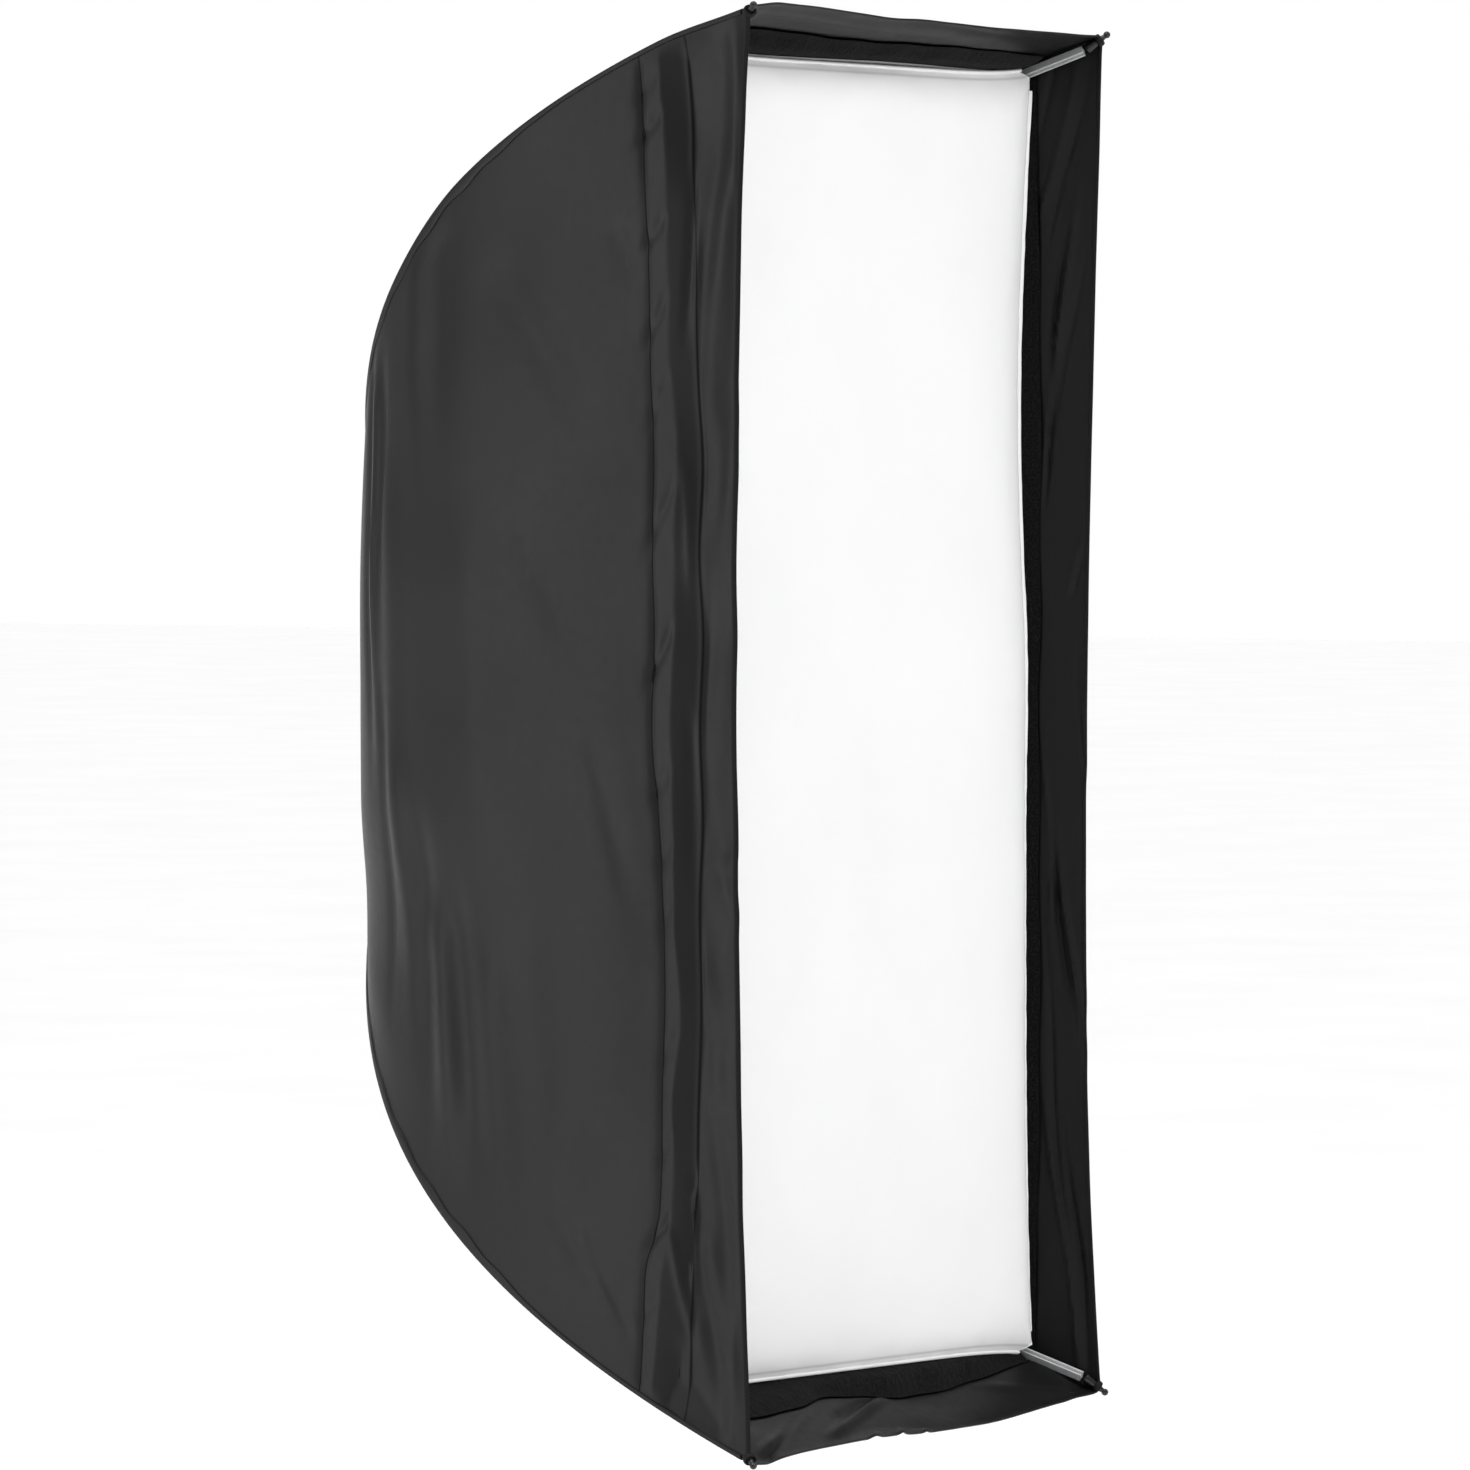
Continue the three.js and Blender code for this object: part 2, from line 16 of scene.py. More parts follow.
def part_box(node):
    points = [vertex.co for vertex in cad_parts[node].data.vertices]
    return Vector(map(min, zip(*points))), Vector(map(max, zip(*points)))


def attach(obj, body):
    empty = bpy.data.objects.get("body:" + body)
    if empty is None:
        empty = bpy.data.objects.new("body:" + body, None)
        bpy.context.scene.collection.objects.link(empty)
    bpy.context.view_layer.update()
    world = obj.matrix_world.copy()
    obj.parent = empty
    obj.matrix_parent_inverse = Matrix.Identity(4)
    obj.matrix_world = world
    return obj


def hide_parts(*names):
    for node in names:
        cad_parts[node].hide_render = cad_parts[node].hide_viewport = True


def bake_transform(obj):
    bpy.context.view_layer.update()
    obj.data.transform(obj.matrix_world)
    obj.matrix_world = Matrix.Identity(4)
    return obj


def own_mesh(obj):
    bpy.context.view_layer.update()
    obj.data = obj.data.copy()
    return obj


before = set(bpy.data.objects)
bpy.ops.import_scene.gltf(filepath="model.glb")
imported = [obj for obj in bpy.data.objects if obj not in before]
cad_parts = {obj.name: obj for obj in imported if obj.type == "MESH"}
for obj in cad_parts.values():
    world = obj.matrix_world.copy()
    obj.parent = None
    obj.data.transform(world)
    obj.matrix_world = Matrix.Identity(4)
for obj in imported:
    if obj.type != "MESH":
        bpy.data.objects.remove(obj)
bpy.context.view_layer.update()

# ---- sizes, from the frame and a few of the cloth's own

MM = 0.001
FULL_TURN = 2 * math.pi
TIP_RADIUS = 2 * MM
tip_low, tip_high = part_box("rib_end_top_right")
HALF_WIDTH = tip_high.x - TIP_RADIUS
HALF_HEIGHT = tip_high.z - TIP_RADIUS
RIM_Y = tip_low.y + TIP_RADIUS
DOME_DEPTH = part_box("canopy_left")[1].y - RIM_Y
DOME_POWER = 3.4
CROWN_HOLE = 0.04

# The cloth's thickness, its front rim, and the band sewn behind it: two stitch lines with a fold between.
CLOTH = 0.5 * MM
RIM_DEPTH = 3.5 * MM
RIM_BOW = {"left": 10.5 * MM, "right": 8.2 * MM, "top": 3 * MM, "bottom": 3 * MM}
RIM_SKEW = {"left": 0.3, "right": -0.45, "top": 0, "bottom": 0}
FRONT_STITCH = 37 * MM
BAND_FOLD = 53 * MM
BACK_STITCH = 68 * MM
BAND_HEIGHT = 2.2 * MM
FRONT_DRAW = {"left": 3.4 * MM, "right": 1.6 * MM, "top": 1.2 * MM, "bottom": 1.2 * MM}
FLARE = {"left": -0.2 * MM, "right": -0.7 * MM, "top": 1.2 * MM, "bottom": 1.6 * MM}
STITCH_SPREAD = 10 * MM
LINING_FROM = 46 * MM
TAPE_WIDTH = 38 * MM
OPENING_FRONT, OPENING_BACK = 105 * MM, 215 * MM
OPENING_REACH = 40 * MM

SIDES = ("left", "right", "top", "bottom")
SEEDS = {"left": 11, "right": 21, "top": 31, "bottom": 41}
SIGN = {"left": -1, "right": 1, "top": 1, "bottom": -1}
UPRIGHT = ("left", "right")
CORNERS = {
    "top_left": (-1, 1),
    "top_right": (1, 1),
    "bottom_left": (-1, -1),
    "bottom_right": (1, -1),
}


def smooth(x):
    """Eases from 0 to 1 as x goes from 0 to 1."""
    x = np.clip(x, 0, 1)
    return x * x * (3 - 2 * x)


def bell(distance, width):
    """1 at no distance, falling smoothly to nothing beyond about twice the width."""
    return np.exp(-((distance / width) ** 2))


def add_object(name, data):
    """A new object in the scene that shows the data."""
    thing = bpy.data.objects.new(name, data)
    bpy.context.scene.collection.objects.link(thing)
    return thing


# ---- camera, light and floor

VIEW_AZIMUTH = math.radians(-60.76)
VIEW_ELEVATION = math.radians(1.99)
VIEW_DISTANCE = 4.811
VIEW_SHIFT_RIGHT = -0.1088
VIEW_SHIFT_UP = -0.0049
LENS = 217.7
SENSOR_WIDTH = 36
BACKDROP_WAY = (0.87, 0.49, 0)
ROOM_LIGHT = 0.3
FLOOR_REACH = 30
FLOOR_HEIGHT = -0.75


def make_camera():
    """A long lens. Azimuth is measured from straight in front, towards +X."""
    cos_azimuth, sin_azimuth = math.cos(VIEW_AZIMUTH), math.sin(VIEW_AZIMUTH)
    cos_elevation, sin_elevation = math.cos(VIEW_ELEVATION), math.sin(VIEW_ELEVATION)
    back = Vector((sin_azimuth * cos_elevation, -cos_azimuth * cos_elevation, sin_elevation))
    right = Vector((cos_azimuth, sin_azimuth, 0))
    up = back.cross(right)
    target = Vector((0, RIM_Y, 0)) + right * VIEW_SHIFT_RIGHT + up * VIEW_SHIFT_UP
    data = bpy.data.cameras.new("camera")
    data.lens = LENS
    data.sensor_width = SENSOR_WIDTH
    data.clip_end = 100
    camera = add_object("camera", data)
    turn = Matrix((right, up, back)).transposed()
    camera.matrix_world = Matrix.Translation(target + back * VIEW_DISTANCE) @ turn.to_4x4()
    bpy.context.scene.camera = camera


def area_light(name, place, aim, size, power):
    data = bpy.data.lights.new(name, "AREA")
    data.shape = "RECTANGLE"
    data.size, data.size_y = size
    data.energy = power
    light = add_object(name, data)
    light.location = place
    light.rotation_mode = "QUATERNION"
    light.rotation_quaternion = (Vector(aim) - Vector(place)).to_track_quat("-Z", "Y")


def make_stage():
    """A white backdrop beyond the softbox, a dimmer room all round, soft lights and a pale floor."""
    world = bpy.data.worlds.new("world")
    bpy.context.scene.world = world
    world.use_nodes = True
    paint = Paint(world)
    direction = paint.place("Generated")
    towards = paint.nodes.new("ShaderNodeVectorMath")
    towards.operation = "DOT_PRODUCT"
    towards.inputs[1].default_value = BACKDROP_WAY
    paint.feed(towards.inputs[0], direction)
    strength = paint.spread(towards.outputs["Value"], ROOM_LIGHT, 1, 0.88, 0.97)
    background = paint.nodes["Background"]
    paint.feed(background.inputs["Color"], (1, 1, 1))
    paint.feed(background.inputs["Strength"], strength)

    area_light("left_light", place=(-1.8, 2.5, 0.35), aim=(-0.2, 0.05, 0.0), size=(0.9, 2.4), power=20)
    area_light("front_light", place=(-0.5, -3.2, 2.8), aim=(0, 0, -0.1), size=(2.2, 2.0), power=76)
    sky = bpy.data.lights.new("overhead_light", "SUN")
    sky.energy = 2.45
    sky.angle = math.radians(50)
    add_object("overhead_light", sky).rotation_euler = (math.radians(-8), math.radians(-12), 0)

    mesh = bpy.data.meshes.new("floor")
    ways = ((-1, -1), (1, -1), (1, 1), (-1, 1))
    corners = [(FLOOR_REACH * x, FLOOR_REACH * y, FLOOR_HEIGHT) for x, y in ways]
    mesh.from_pydata(corners, [], [(0, 1, 2, 3)])
    floor = add_object("floor", mesh)
    paint = new_paint("pale_floor")
    paint.look("Roughness", 0.9)
    paint.tint(paint.noise(paint.place("Object"), 3), (0.93, 0.93, 0.93), (0.96, 0.96, 0.96))
    mesh.materials.append(paint.material)


# ---- materials


class Paint:
    """The shader nodes of a material or a world. Most methods add one node, and give its output."""

    def __init__(self, owner):
        self.material = owner
        self.nodes, self.links = owner.node_tree.nodes, owner.node_tree.links

    def feed(self, socket, value):
        """Links another node's output to a socket, or sets the socket to a constant."""
        if isinstance(value, bpy.types.NodeSocket):
            self.links.new(value, socket)
        elif socket.type == "RGBA":
            socket.default_value = (*value, 1)
        else:
            socket.default_value = value

    def look(self, name, value):
        """Feeds one input of the material's shader."""
        self.feed(self.nodes["Principled BSDF"].inputs[name], value)

    def place(self, kind):
        if kind == "UV":
            node = self.nodes.new("ShaderNodeUVMap")
            node.uv_map = "cloth"
            return node.outputs["UV"]
        return self.nodes.new("ShaderNodeTexCoord").outputs[kind]

    def scaled(self, vector, scale):
        node = self.nodes.new("ShaderNodeMapping")
        self.feed(node.inputs["Scale"], scale)
        self.feed(node.inputs["Vector"], vector)
        return node.outputs["Vector"]

    def noise(self, vector, scale, detail=4):
        node = self.nodes.new("ShaderNodeTexNoise")
        self.feed(node.inputs["Scale"], scale)
        self.feed(node.inputs["Detail"], detail)
        self.feed(node.inputs["Vector"], vector)
        return node.outputs["Fac"]

    def bands(self, vector, direction, per_metre):
        """Even bands. At a scale of 1 they repeat every pi / 10."""
        node = self.nodes.new("ShaderNodeTexWave")
        node.bands_direction = direction
        self.feed(node.inputs["Scale"], per_metre * math.pi / 10)
        self.feed(node.inputs["Vector"], vector)
        return node.outputs["Fac"]

    def spread(self, value, low, high, start=0.3, stop=0.7):
        node = self.nodes.new("ShaderNodeMapRange")
        ends = {"From Min": start, "From Max": stop, "To Min": low, "To Max": high, "Value": value}
        for name, end in ends.items():
            self.feed(node.inputs[name], end)
        return node.outputs["Result"]

    def arithmetic(self, operation, first, second):
        node = self.nodes.new("ShaderNodeMath")
        node.operation = operation
        self.feed(node.inputs[0], first)
        self.feed(node.inputs[1], second)
        return node.outputs["Value"]

    def blend_colours(self, factor, first, second):
        node = self.nodes.new("ShaderNodeMix")
        node.data_type = "RGBA"
        self.feed(node.inputs["Factor"], factor)
        self.feed(node.inputs[6], first)
        self.feed(node.inputs[7], second)
        return node.outputs[2]

    def tint(self, value, first, second, start=0.3, stop=0.7):
        """Colours the shader from first to second as value goes from start to stop."""
        colour = self.blend_colours(self.spread(value, 0, 1, start, stop), first, second)
        self.look("Base Color", colour)
        return colour

    def bump(self, height, distance):
        node = self.nodes.new("ShaderNodeBump")
        self.feed(node.inputs["Distance"], distance)
        self.feed(node.inputs["Height"], height)
        self.look("Normal", node.outputs["Normal"])


def new_paint(name):
    material = bpy.data.materials.new(name)
    material.use_nodes = True
    return Paint(material)


def woven(name, light, dark, roughness, sheen, weave, seam=None, specular=0.5):
    """Plain-woven cloth: threads both ways, cloudy shade, slightly uneven gloss, and stitch lines of another
    shade without gloss."""
    paint = new_paint(name)
    place = paint.place("UV")
    clouds = paint.noise(place, 9, 5)
    colour = paint.tint(clouds, light, dark)
    if seam:
        mark = paint.nodes.new("ShaderNodeAttribute")
        mark.attribute_name = "stitching"
        sewn = mark.outputs["Fac"]
        paint.look("Base Color", paint.blend_colours(sewn, colour, seam))
        paint.look("Specular IOR Level", paint.spread(sewn, specular, 0.02, 0, 1))
    else:
        paint.look("Specular IOR Level", specular)
    fine = paint.noise(place, 160, 3)
    mixed = paint.arithmetic("ADD", clouds, fine)
    paint.look("Roughness", paint.spread(mixed, roughness - 0.03, roughness + 0.03, 0.7, 1.3))
    paint.look("Sheen Weight", sheen)
    paint.look("Sheen Roughness", 0.4)
    warp = paint.bands(place, "X", weave)
    weft = paint.bands(place, "Y", weave)
    threads = paint.arithmetic("MULTIPLY", warp, weft)
    strong = paint.arithmetic("MULTIPLY", fine, 2.0)
    paint.bump(paint.arithmetic("ADD", threads, strong), 0.008 * MM)
    return paint.material


def fuzzy(name, light, dark):
    """The loop side of hook-and-loop tape: a dense nap with paler lint in it."""
    paint = new_paint(name)
    place = paint.place("UV")
    nap = paint.noise(place, 900, 6)
    paint.tint(nap, dark, light, 0.42, 0.72)
    paint.look("Roughness", 1)
    paint.look("Sheen Weight", 0.04)
    paint.look("Sheen Roughness", 0.6)
    paint.look("Specular IOR Level", 0.03)
    clumps = paint.noise(place, 260, 4)
    strong = paint.arithmetic("MULTIPLY", clumps, 2.0)
    paint.bump(paint.arithmetic("ADD", nap, strong), 0.5 * MM)
    return paint.material


HOOKS_PER_METRE = 700


def hooked(name):
    """The hook side of the tape: rows of fine stiff hooks, with painted shade in the hollows between the
    rows.
    """
    paint = new_paint(name)
    place = paint.place("UV")
    along = paint.bands(place, "X", HOOKS_PER_METRE)
    over = paint.bands(place, "Y", HOOKS_PER_METRE)
    rows = paint.arithmetic("MULTIPLY", along, over)
    # Painted shade: the colour darkens in the low hollows between the hook rows.
    paint.tint(rows, (0.55, 0.55, 0.54), (0.8, 0.8, 0.79), 0.1, 0.7)
    paint.look("Roughness", 0.6)
    paint.bump(rows, 0.4 * MM)
    return paint.material


def metal(name, light, dark, roughness, shine=1.0):
    """Drawn and plated steel: fine streaks along it, cloudy dullness and small dull pits."""
    paint = new_paint(name)
    place = paint.place("Object")
    streaks = paint.noise(paint.scaled(place, (30, 600, 30)), 1, 4)
    clouds = paint.noise(place, 60, 4)
    pits = paint.noise(place, 900, 2)
    both = paint.arithmetic("ADD", streaks, clouds)
    paint.tint(both, light, dark, 0.8, 1.3)
    faint = paint.arithmetic("MULTIPLY", pits, 0.4)
    dull = paint.arithmetic("ADD", both, faint)
    paint.look("Roughness", paint.spread(dull, roughness - 0.08, roughness + 0.14, 0.9, 1.5))
    paint.look("Metallic", shine)
    paint.bump(streaks, 0.004 * MM)
    return paint.material


def moulded(name, first, second, roughness, grain=1400, depth=0.08 * MM):
    """Moulded plastic or rubber: a fine grain, faint flow clouds and rubbed patches."""
    paint = new_paint(name)
    place = paint.place("Object")
    skin = paint.noise(place, grain, 3)
    clouds = paint.noise(place, 90, 4)
    paint.tint(clouds, first, second)
    paint.look("Roughness", paint.spread(clouds, roughness - 0.1, roughness + 0.1))
    paint.bump(skin, depth)
    return paint.material


BLACK = (0.0065, 0.0065, 0.0068)
BLACK_WORN = (0.009, 0.009, 0.0094)
cloth_out = woven("black_nylon", BLACK_WORN, BLACK, 0.4, 0.02, 2600, seam=(0.001, 0.001, 0.001), specular=0.2)
# The inside of the black cloth is the same nylon, painted darker than the outside as painted shade inside the
# recess, with a random mottle between its two tones.
INSIDE_PAINTED_SHADE, INSIDE_PAINTED_SHADE_MOTTLE = (0.0044, 0.0044, 0.0046), (0.0052, 0.0052, 0.0054)
cloth_in_painted_shade = woven("black_nylon_inside_painted_shade", INSIDE_PAINTED_SHADE_MOTTLE, INSIDE_PAINTED_SHADE, 0.52, 0.0, 2600, specular=0.2)
lining = woven("white_lining", (0.78, 0.78, 0.78), (0.7, 0.7, 0.71), 0.5, 0.1, 2200)
# The diffuser's seam colour is partly its stitch line and partly painted shadow of the hem beside it.
WHITE, WHITE_SHADED, WHITE_SEAM_AND_HEM_SHADOW = (0.93, 0.93, 0.93), (0.9, 0.9, 0.905), (0.62, 0.62, 0.63)
white_cloth = woven("diffuser_cloth", WHITE, WHITE_SHADED, 0.75, 0.1, 2200, seam=WHITE_SEAM_AND_HEM_SHADOW)
BINDING_WORN, BINDING = (0.009, 0.009, 0.0095), (0.006, 0.006, 0.0065)
tape_black = woven("black_binding", BINDING_WORN, BINDING, 0.6, 0.02, 1500, specular=0.15)
loop_black = fuzzy("loop_tape_nap", (0.012, 0.012, 0.0125), (0.002, 0.002, 0.002))
hook_white = hooked("hook_tape_rows_painted_shade")
rib_steel = metal("rib_steel_plated", (0.72, 0.73, 0.74), (0.6, 0.61, 0.62), 0.4, shine=0.35)
shaft_steel = metal("shaft_steel_polished", (0.74, 0.75, 0.76), (0.62, 0.63, 0.64), 0.18)
dark_steel = metal("dark_steel", (0.3, 0.31, 0.32), (0.2, 0.2, 0.21), 0.38)
black_plastic = moulded("black_moulding", (0.006, 0.006, 0.0065), (0.009, 0.009, 0.0095), 0.3)
soft_rubber = moulded("soft_rubber", (0.018, 0.018, 0.018), (0.028, 0.028, 0.028), 0.8, 700, 0.2 * MM)

# ---- meshes


def lay_out(mesh, uv):
    """Gives the mesh a flat layout, in metres of cloth, from one place per point."""
    layer = mesh.uv_layers.new(name="cloth")
    corner = np.zeros(len(mesh.loops), np.int32)
    mesh.loops.foreach_get("vertex_index", corner)
    layer.data.foreach_set("uv", uv[corner].astype(np.float32).ravel())


def new_object(name, points, faces, materials, uv, face_material=None, sharp=40, closed=False):
    """A smooth-shaded piece, with its edges sharp beyond an angle. closed turns the faces outwards."""
    mesh = bpy.data.meshes.new(name)
    mesh.from_pydata(points.tolist(), [], faces)
    for material in materials:
        mesh.materials.append(material)
    if face_material is not None:
        mesh.polygons.foreach_set("material_index", np.asarray(face_material, np.int32))
    mesh.polygons.foreach_set("use_smooth", np.ones(len(faces), bool))
    lay_out(mesh, uv)
    if closed:
        turn_out(mesh)
    mesh.set_sharp_from_angle(angle=math.radians(sharp))
    return add_object(name, mesh)


def turn_out(mesh):
    """Turns a closed mesh's faces outwards."""
    work = bmesh.new()
    work.from_mesh(mesh)
    bmesh.ops.recalc_face_normals(work, faces=work.faces)
    work.to_mesh(mesh)
    work.free()


def grid_faces(rows, columns, closed=False):
    """Quads of a grid of points; closed joins the last column to the first."""
    across = columns if closed else columns - 1
    row, column = np.meshgrid(np.arange(rows - 1), np.arange(across), indexing="ij")
    following = (column + 1) % columns
    near, far = row * columns, (row + 1) * columns
    faces = np.stack([near + column, near + following, far + following, far + column], axis=-1)
    return faces.reshape(-1, 4)


def grid_normals(points, outward):
    """Unit normals of a grid of points, turned to the side that outward points to."""
    normal = np.cross(np.gradient(points, axis=0), np.gradient(points, axis=1))
    normal /= np.linalg.norm(normal, axis=2, keepdims=True) + 1e-12
    facing = np.sign((normal * outward).sum(axis=2, keepdims=True).mean())
    return normal * facing


def cloth_sheet(name, outside, inside, uv, materials, keep=None, inner_rows=None, stitching=None):
    """A closed thin sheet between two grids of points. keep picks its quads, and inner_rows picks the
    material of the inner face row by row."""
    rows, columns = outside.shape[:2]
    quads = grid_faces(rows, columns)
    row_of = np.repeat(np.arange(rows - 1), columns - 1)
    if keep is not None:
        quads, row_of = quads[keep.ravel()], row_of[keep.ravel()]
    first = outside.reshape(-1, 3)
    across = first[quads[0, 1]] - first[quads[0, 0]]
    down = first[quads[0, 3]] - first[quads[0, 0]]
    offset = first[quads[0, 0]] - inside.reshape(-1, 3)[quads[0, 0]]
    if np.dot(np.cross(across, down), offset) < 0:
        quads = quads[:, ::-1]
    count = rows * columns
    edges = np.concatenate([quads[:, [k, (k + 1) % 4]] for k in range(4)])
    ways = set(map(tuple, edges.tolist()))
    border = np.array([[b, a, a + count, b + count] for a, b in edges.tolist() if (b, a) not in ways])
    faces = np.concatenate([quads, quads[:, ::-1] + count, border])
    inner = np.ones(len(quads), int) if inner_rows is None else np.asarray(inner_rows)[row_of]
    face_material = np.concatenate([np.zeros(len(quads), int), inner, np.zeros(len(border), int)])
    points = np.concatenate([first, inside.reshape(-1, 3)])
    used, faces = np.unique(faces, return_inverse=True)
    faces = faces.reshape(-1, 4)
    places = np.concatenate([uv.reshape(-1, 2)] * 2)[used]
    piece = new_object(name, points[used], faces.tolist(), materials, places, face_material)
    if stitching is not None:
        mark = piece.data.attributes.new("stitching", "FLOAT", "POINT")
        marks = np.concatenate([stitching.ravel(), np.zeros(count)])[used]
        mark.data.foreach_set("value", marks.astype(np.float32))
    return piece, used


def run_along(path):
    """Distance run from the start of a path to each of its points."""
    return np.concatenate([[0], np.cumsum(np.linalg.norm(np.diff(path, axis=0), axis=1))])


def swept(name, path, profile_at, materials):
    """A closed bar along a path of points. profile_at gives, for each step, its ring of points in order."""
    rings = np.array([profile_at(k) for k in range(len(path))])
    rows, columns = rings.shape[:2]
    faces = grid_faces(rows, columns, closed=True).tolist()
    faces.append(list(range(columns)))
    faces.append([(rows - 1) * columns + k for k in range(columns)][::-1])
    along = run_along(path)
    girth = np.linspace(0, 10 * MM, columns)
    uv = np.stack(np.meshgrid(girth, along), axis=-1).reshape(-1, 2)
    return new_object(name, rings.reshape(-1, 3), faces, materials, uv, sharp=50, closed=True)


# ---- the dome


def share_at(depth):
    """The share at a depth behind the rim."""
    return np.maximum(1 - depth / DOME_DEPTH, 0) ** (1 / DOME_POWER)


def depth_at(share):
    """The depth behind the rim at a share."""
    return DOME_DEPTH * (1 - share**DOME_POWER)


def spans(side):
    """How far the side lies from the shaft at the rim, and half its width there."""
    return (HALF_WIDTH, HALF_HEIGHT) if side in UPRIGHT else (HALF_HEIGHT, HALF_WIDTH)


# Rise per depth at the top and at the bottom; how far the cloth puffs out high up, and over which depths.
LIFT_HIGH, LIFT_LOW = 0.042, 0.025
PUFF = 4.3 * MM
PUFF_FRONT, PUFF_BACK, PUFF_EASE = 5 * MM, 270 * MM, 60 * MM


def dome_point(side, share, lean):
    """Points on the dome's bare surface. The cloth rides a little up towards its back, as it does on a frame
    that hangs from its shaft."""
    span, across = spans(side)
    depth = depth_at(share)
    out = SIGN[side] * span * share
    over = across * share * lean
    x, z = (out, over) if side in UPRIGHT else (over, out)
    height = z / np.maximum(HALF_HEIGHT * share, 1e-6)
    lift = LIFT_LOW + (LIFT_HIGH - LIFT_LOW) * (height + 1) / 2
    z = z + lift * depth * smooth((share - 0.05) / 0.35)
    loose = smooth((depth - PUFF_FRONT) / PUFF_EASE) * smooth((PUFF_BACK - depth) / PUFF_EASE)
    z = z + PUFF * loose * smooth(height - 0.25) * smooth(1 - x / HALF_WIDTH)
    return np.stack([x, RIM_Y + depth, z], axis=-1)


def stitch_lines(side, lean):
    """Depths of the front stitch line, the fold and the back stitch line. They lie further back near the
    ribs, where the cloth is pulled straight to the tips, and wander slowly between them."""
    slack = STITCH_SPREAD * (1 if side == "left" else 0.3)
    wander = 1.4 * MM * np.sin(9 * lean + 1.3) * np.cos(14.3 * lean) * (1 - lean**2)
    shift = slack * np.abs(lean) ** 2.5 + wander
    if side == "bottom":
        shift = shift + 7 * MM * bell(lean + 0.2, 0.22)
    if side == "top":
        shift = shift - 8 * MM * smooth((lean + 0.4) / 1.4)
    front, fold, back = FRONT_STITCH + shift, BAND_FOLD + shift, BACK_STITCH + shift
    if side == "left":
        low = smooth(-lean / 0.3)
        back = back - 8 * MM * smooth((lean + 0.82) / 0.12) * low
        fold = fold - 3 * MM * smooth((lean + 0.75) / 0.15) * low + 3.5 * MM * smooth((-lean - 0.7) / 0.15)
    return front, fold, back


def rim_depth(side, lean):
    """Depth of the front edge, which bows back between the tips."""
    return RIM_DEPTH + RIM_BOW[side] * (1 + RIM_SKEW[side] * lean) * (1 - np.abs(lean) ** 2.2)


# ---- creases and puckers

# Creases, mm: depth and place across of the start, then of the end, then the crease's width and height. It is
# a ridge, or a furrow where its height is negative. The place across is the height on an upright side.
LIP_CREASES = [
    (6, 392, 26, 200, 4.5, 2.6),
    (13, 382, 38, 176, 4.0, -2.4),
    (3, 360, 18, 120, 4.0, -1.8),
    (20, 320, 38, 90, 3.5, 1.6),
    (17, 176, 37, 38, 4.5, 2.4),
    (12, 190, 27, 60, 4.0, -2.2),
    (30, 130, 38, -40, 3.5, -1.6),
    (9, 60, 17, -70, 3.5, 1.3),
    (19, -60, 9, -95, 3.0, 1.4),
    (23, -66, 13, -110, 3.0, -1.4),
    (39, -90, 19, -320, 4.5, 2.6),
    (37, -120, 12, -340, 4.0, -2.4),
    (30, -150, 6, -300, 4.0, 1.6),
    (34, -250, 8, -372, 3.5, 1.8),
    (40, -262, 15, -376, 3.5, -2.2),
    (46, -300, 24, -380, 3.5, 1.6),
]
PANEL_CREASES = [
    (293, 214, 290, -60, 3.2, -2.0),
    (286, 206, 283, -50, 3.2, 1.6),
    (278, 200, 276, 20, 3.4, -1.8),
    (268, 150, 264, -120, 9, 1.4),
    (274, 30, 272, -190, 4, -1.2),
    (262, -10, 252, -195, 9, 1.8),
    (246, -40, 232, -235, 9, -2.2),
    (236, -90, 218, -262, 10, 2.4),
    (216, -70, 200, -285, 10, -2.0),
    (190, -110, 176, -290, 11, 1.6),
    (126, -262, 74, -336, 3.6, 1.2),
    (122, -270, 72, -342, 3.6, -1.2),
    (150, -250, 104, -306, 7, -0.8),
    (190, 245, 104, 150, 13, -1.5),
    (170, 118, 112, 10, 12, -0.9),
    (114, 10, 80, -110, 8, -1.0),
    (232, 280, 222, 130, 14, -1.8),
    (250, 270, 240, 90, 11, 1.2),
    (205, 120, 190, -120, 18, 1.6),
    (160, -90, 150, -260, 15, -1.4),
    (98, 266, 76, 226, 8, -0.8),
]
BAND_CREASES = [
    (39, -222, 50, -305, 2.6, -1.8),
    (44, -232, 40, -295, 2.4, 1.3),
    (55, -258, 40, -332, 2.8, 1.5),
    (52, -316, 57, -378, 4.5, -1.9),
    (43, 300, 46, 190, 3, -1.2),
    (49, 150, 42, 60, 2.6, 0.8),
    (47, 20, 41, -90, 2.8, -0.9),
]
BOTTOM_CREASES = [
    (2, -196, 44, -50, 2.4, 2.6),
    (7, -188, 48, -40, 3.0, -2.6),
    (12, -108, 44, 50, 2.8, -2.8),
    (22, -76, 46, 20, 2.6, 2.0),
    (2, -66, 12, -40, 2.2, -1.6),
    (2, -34, 14, -12, 2.2, -1.8),
    (2, -8, 10, 12, 2.0, -1.4),
    (4, 190, 40, 90, 5, -1.4),
]
TOP_CREASES = [
    (14, -190, 18, 40, 4, -1.1),
    (24, -180, 26, 120, 4, 0.9),
    (32, -186, 34, -20, 3, -0.7),
    (8, -60, 12, 180, 3.5, 0.9),
]
PUCKER_HEIGHTS = (330, 308, 254, 206, 163, 102, 30, -33, -70, -103, -173, -226, -269, -310)


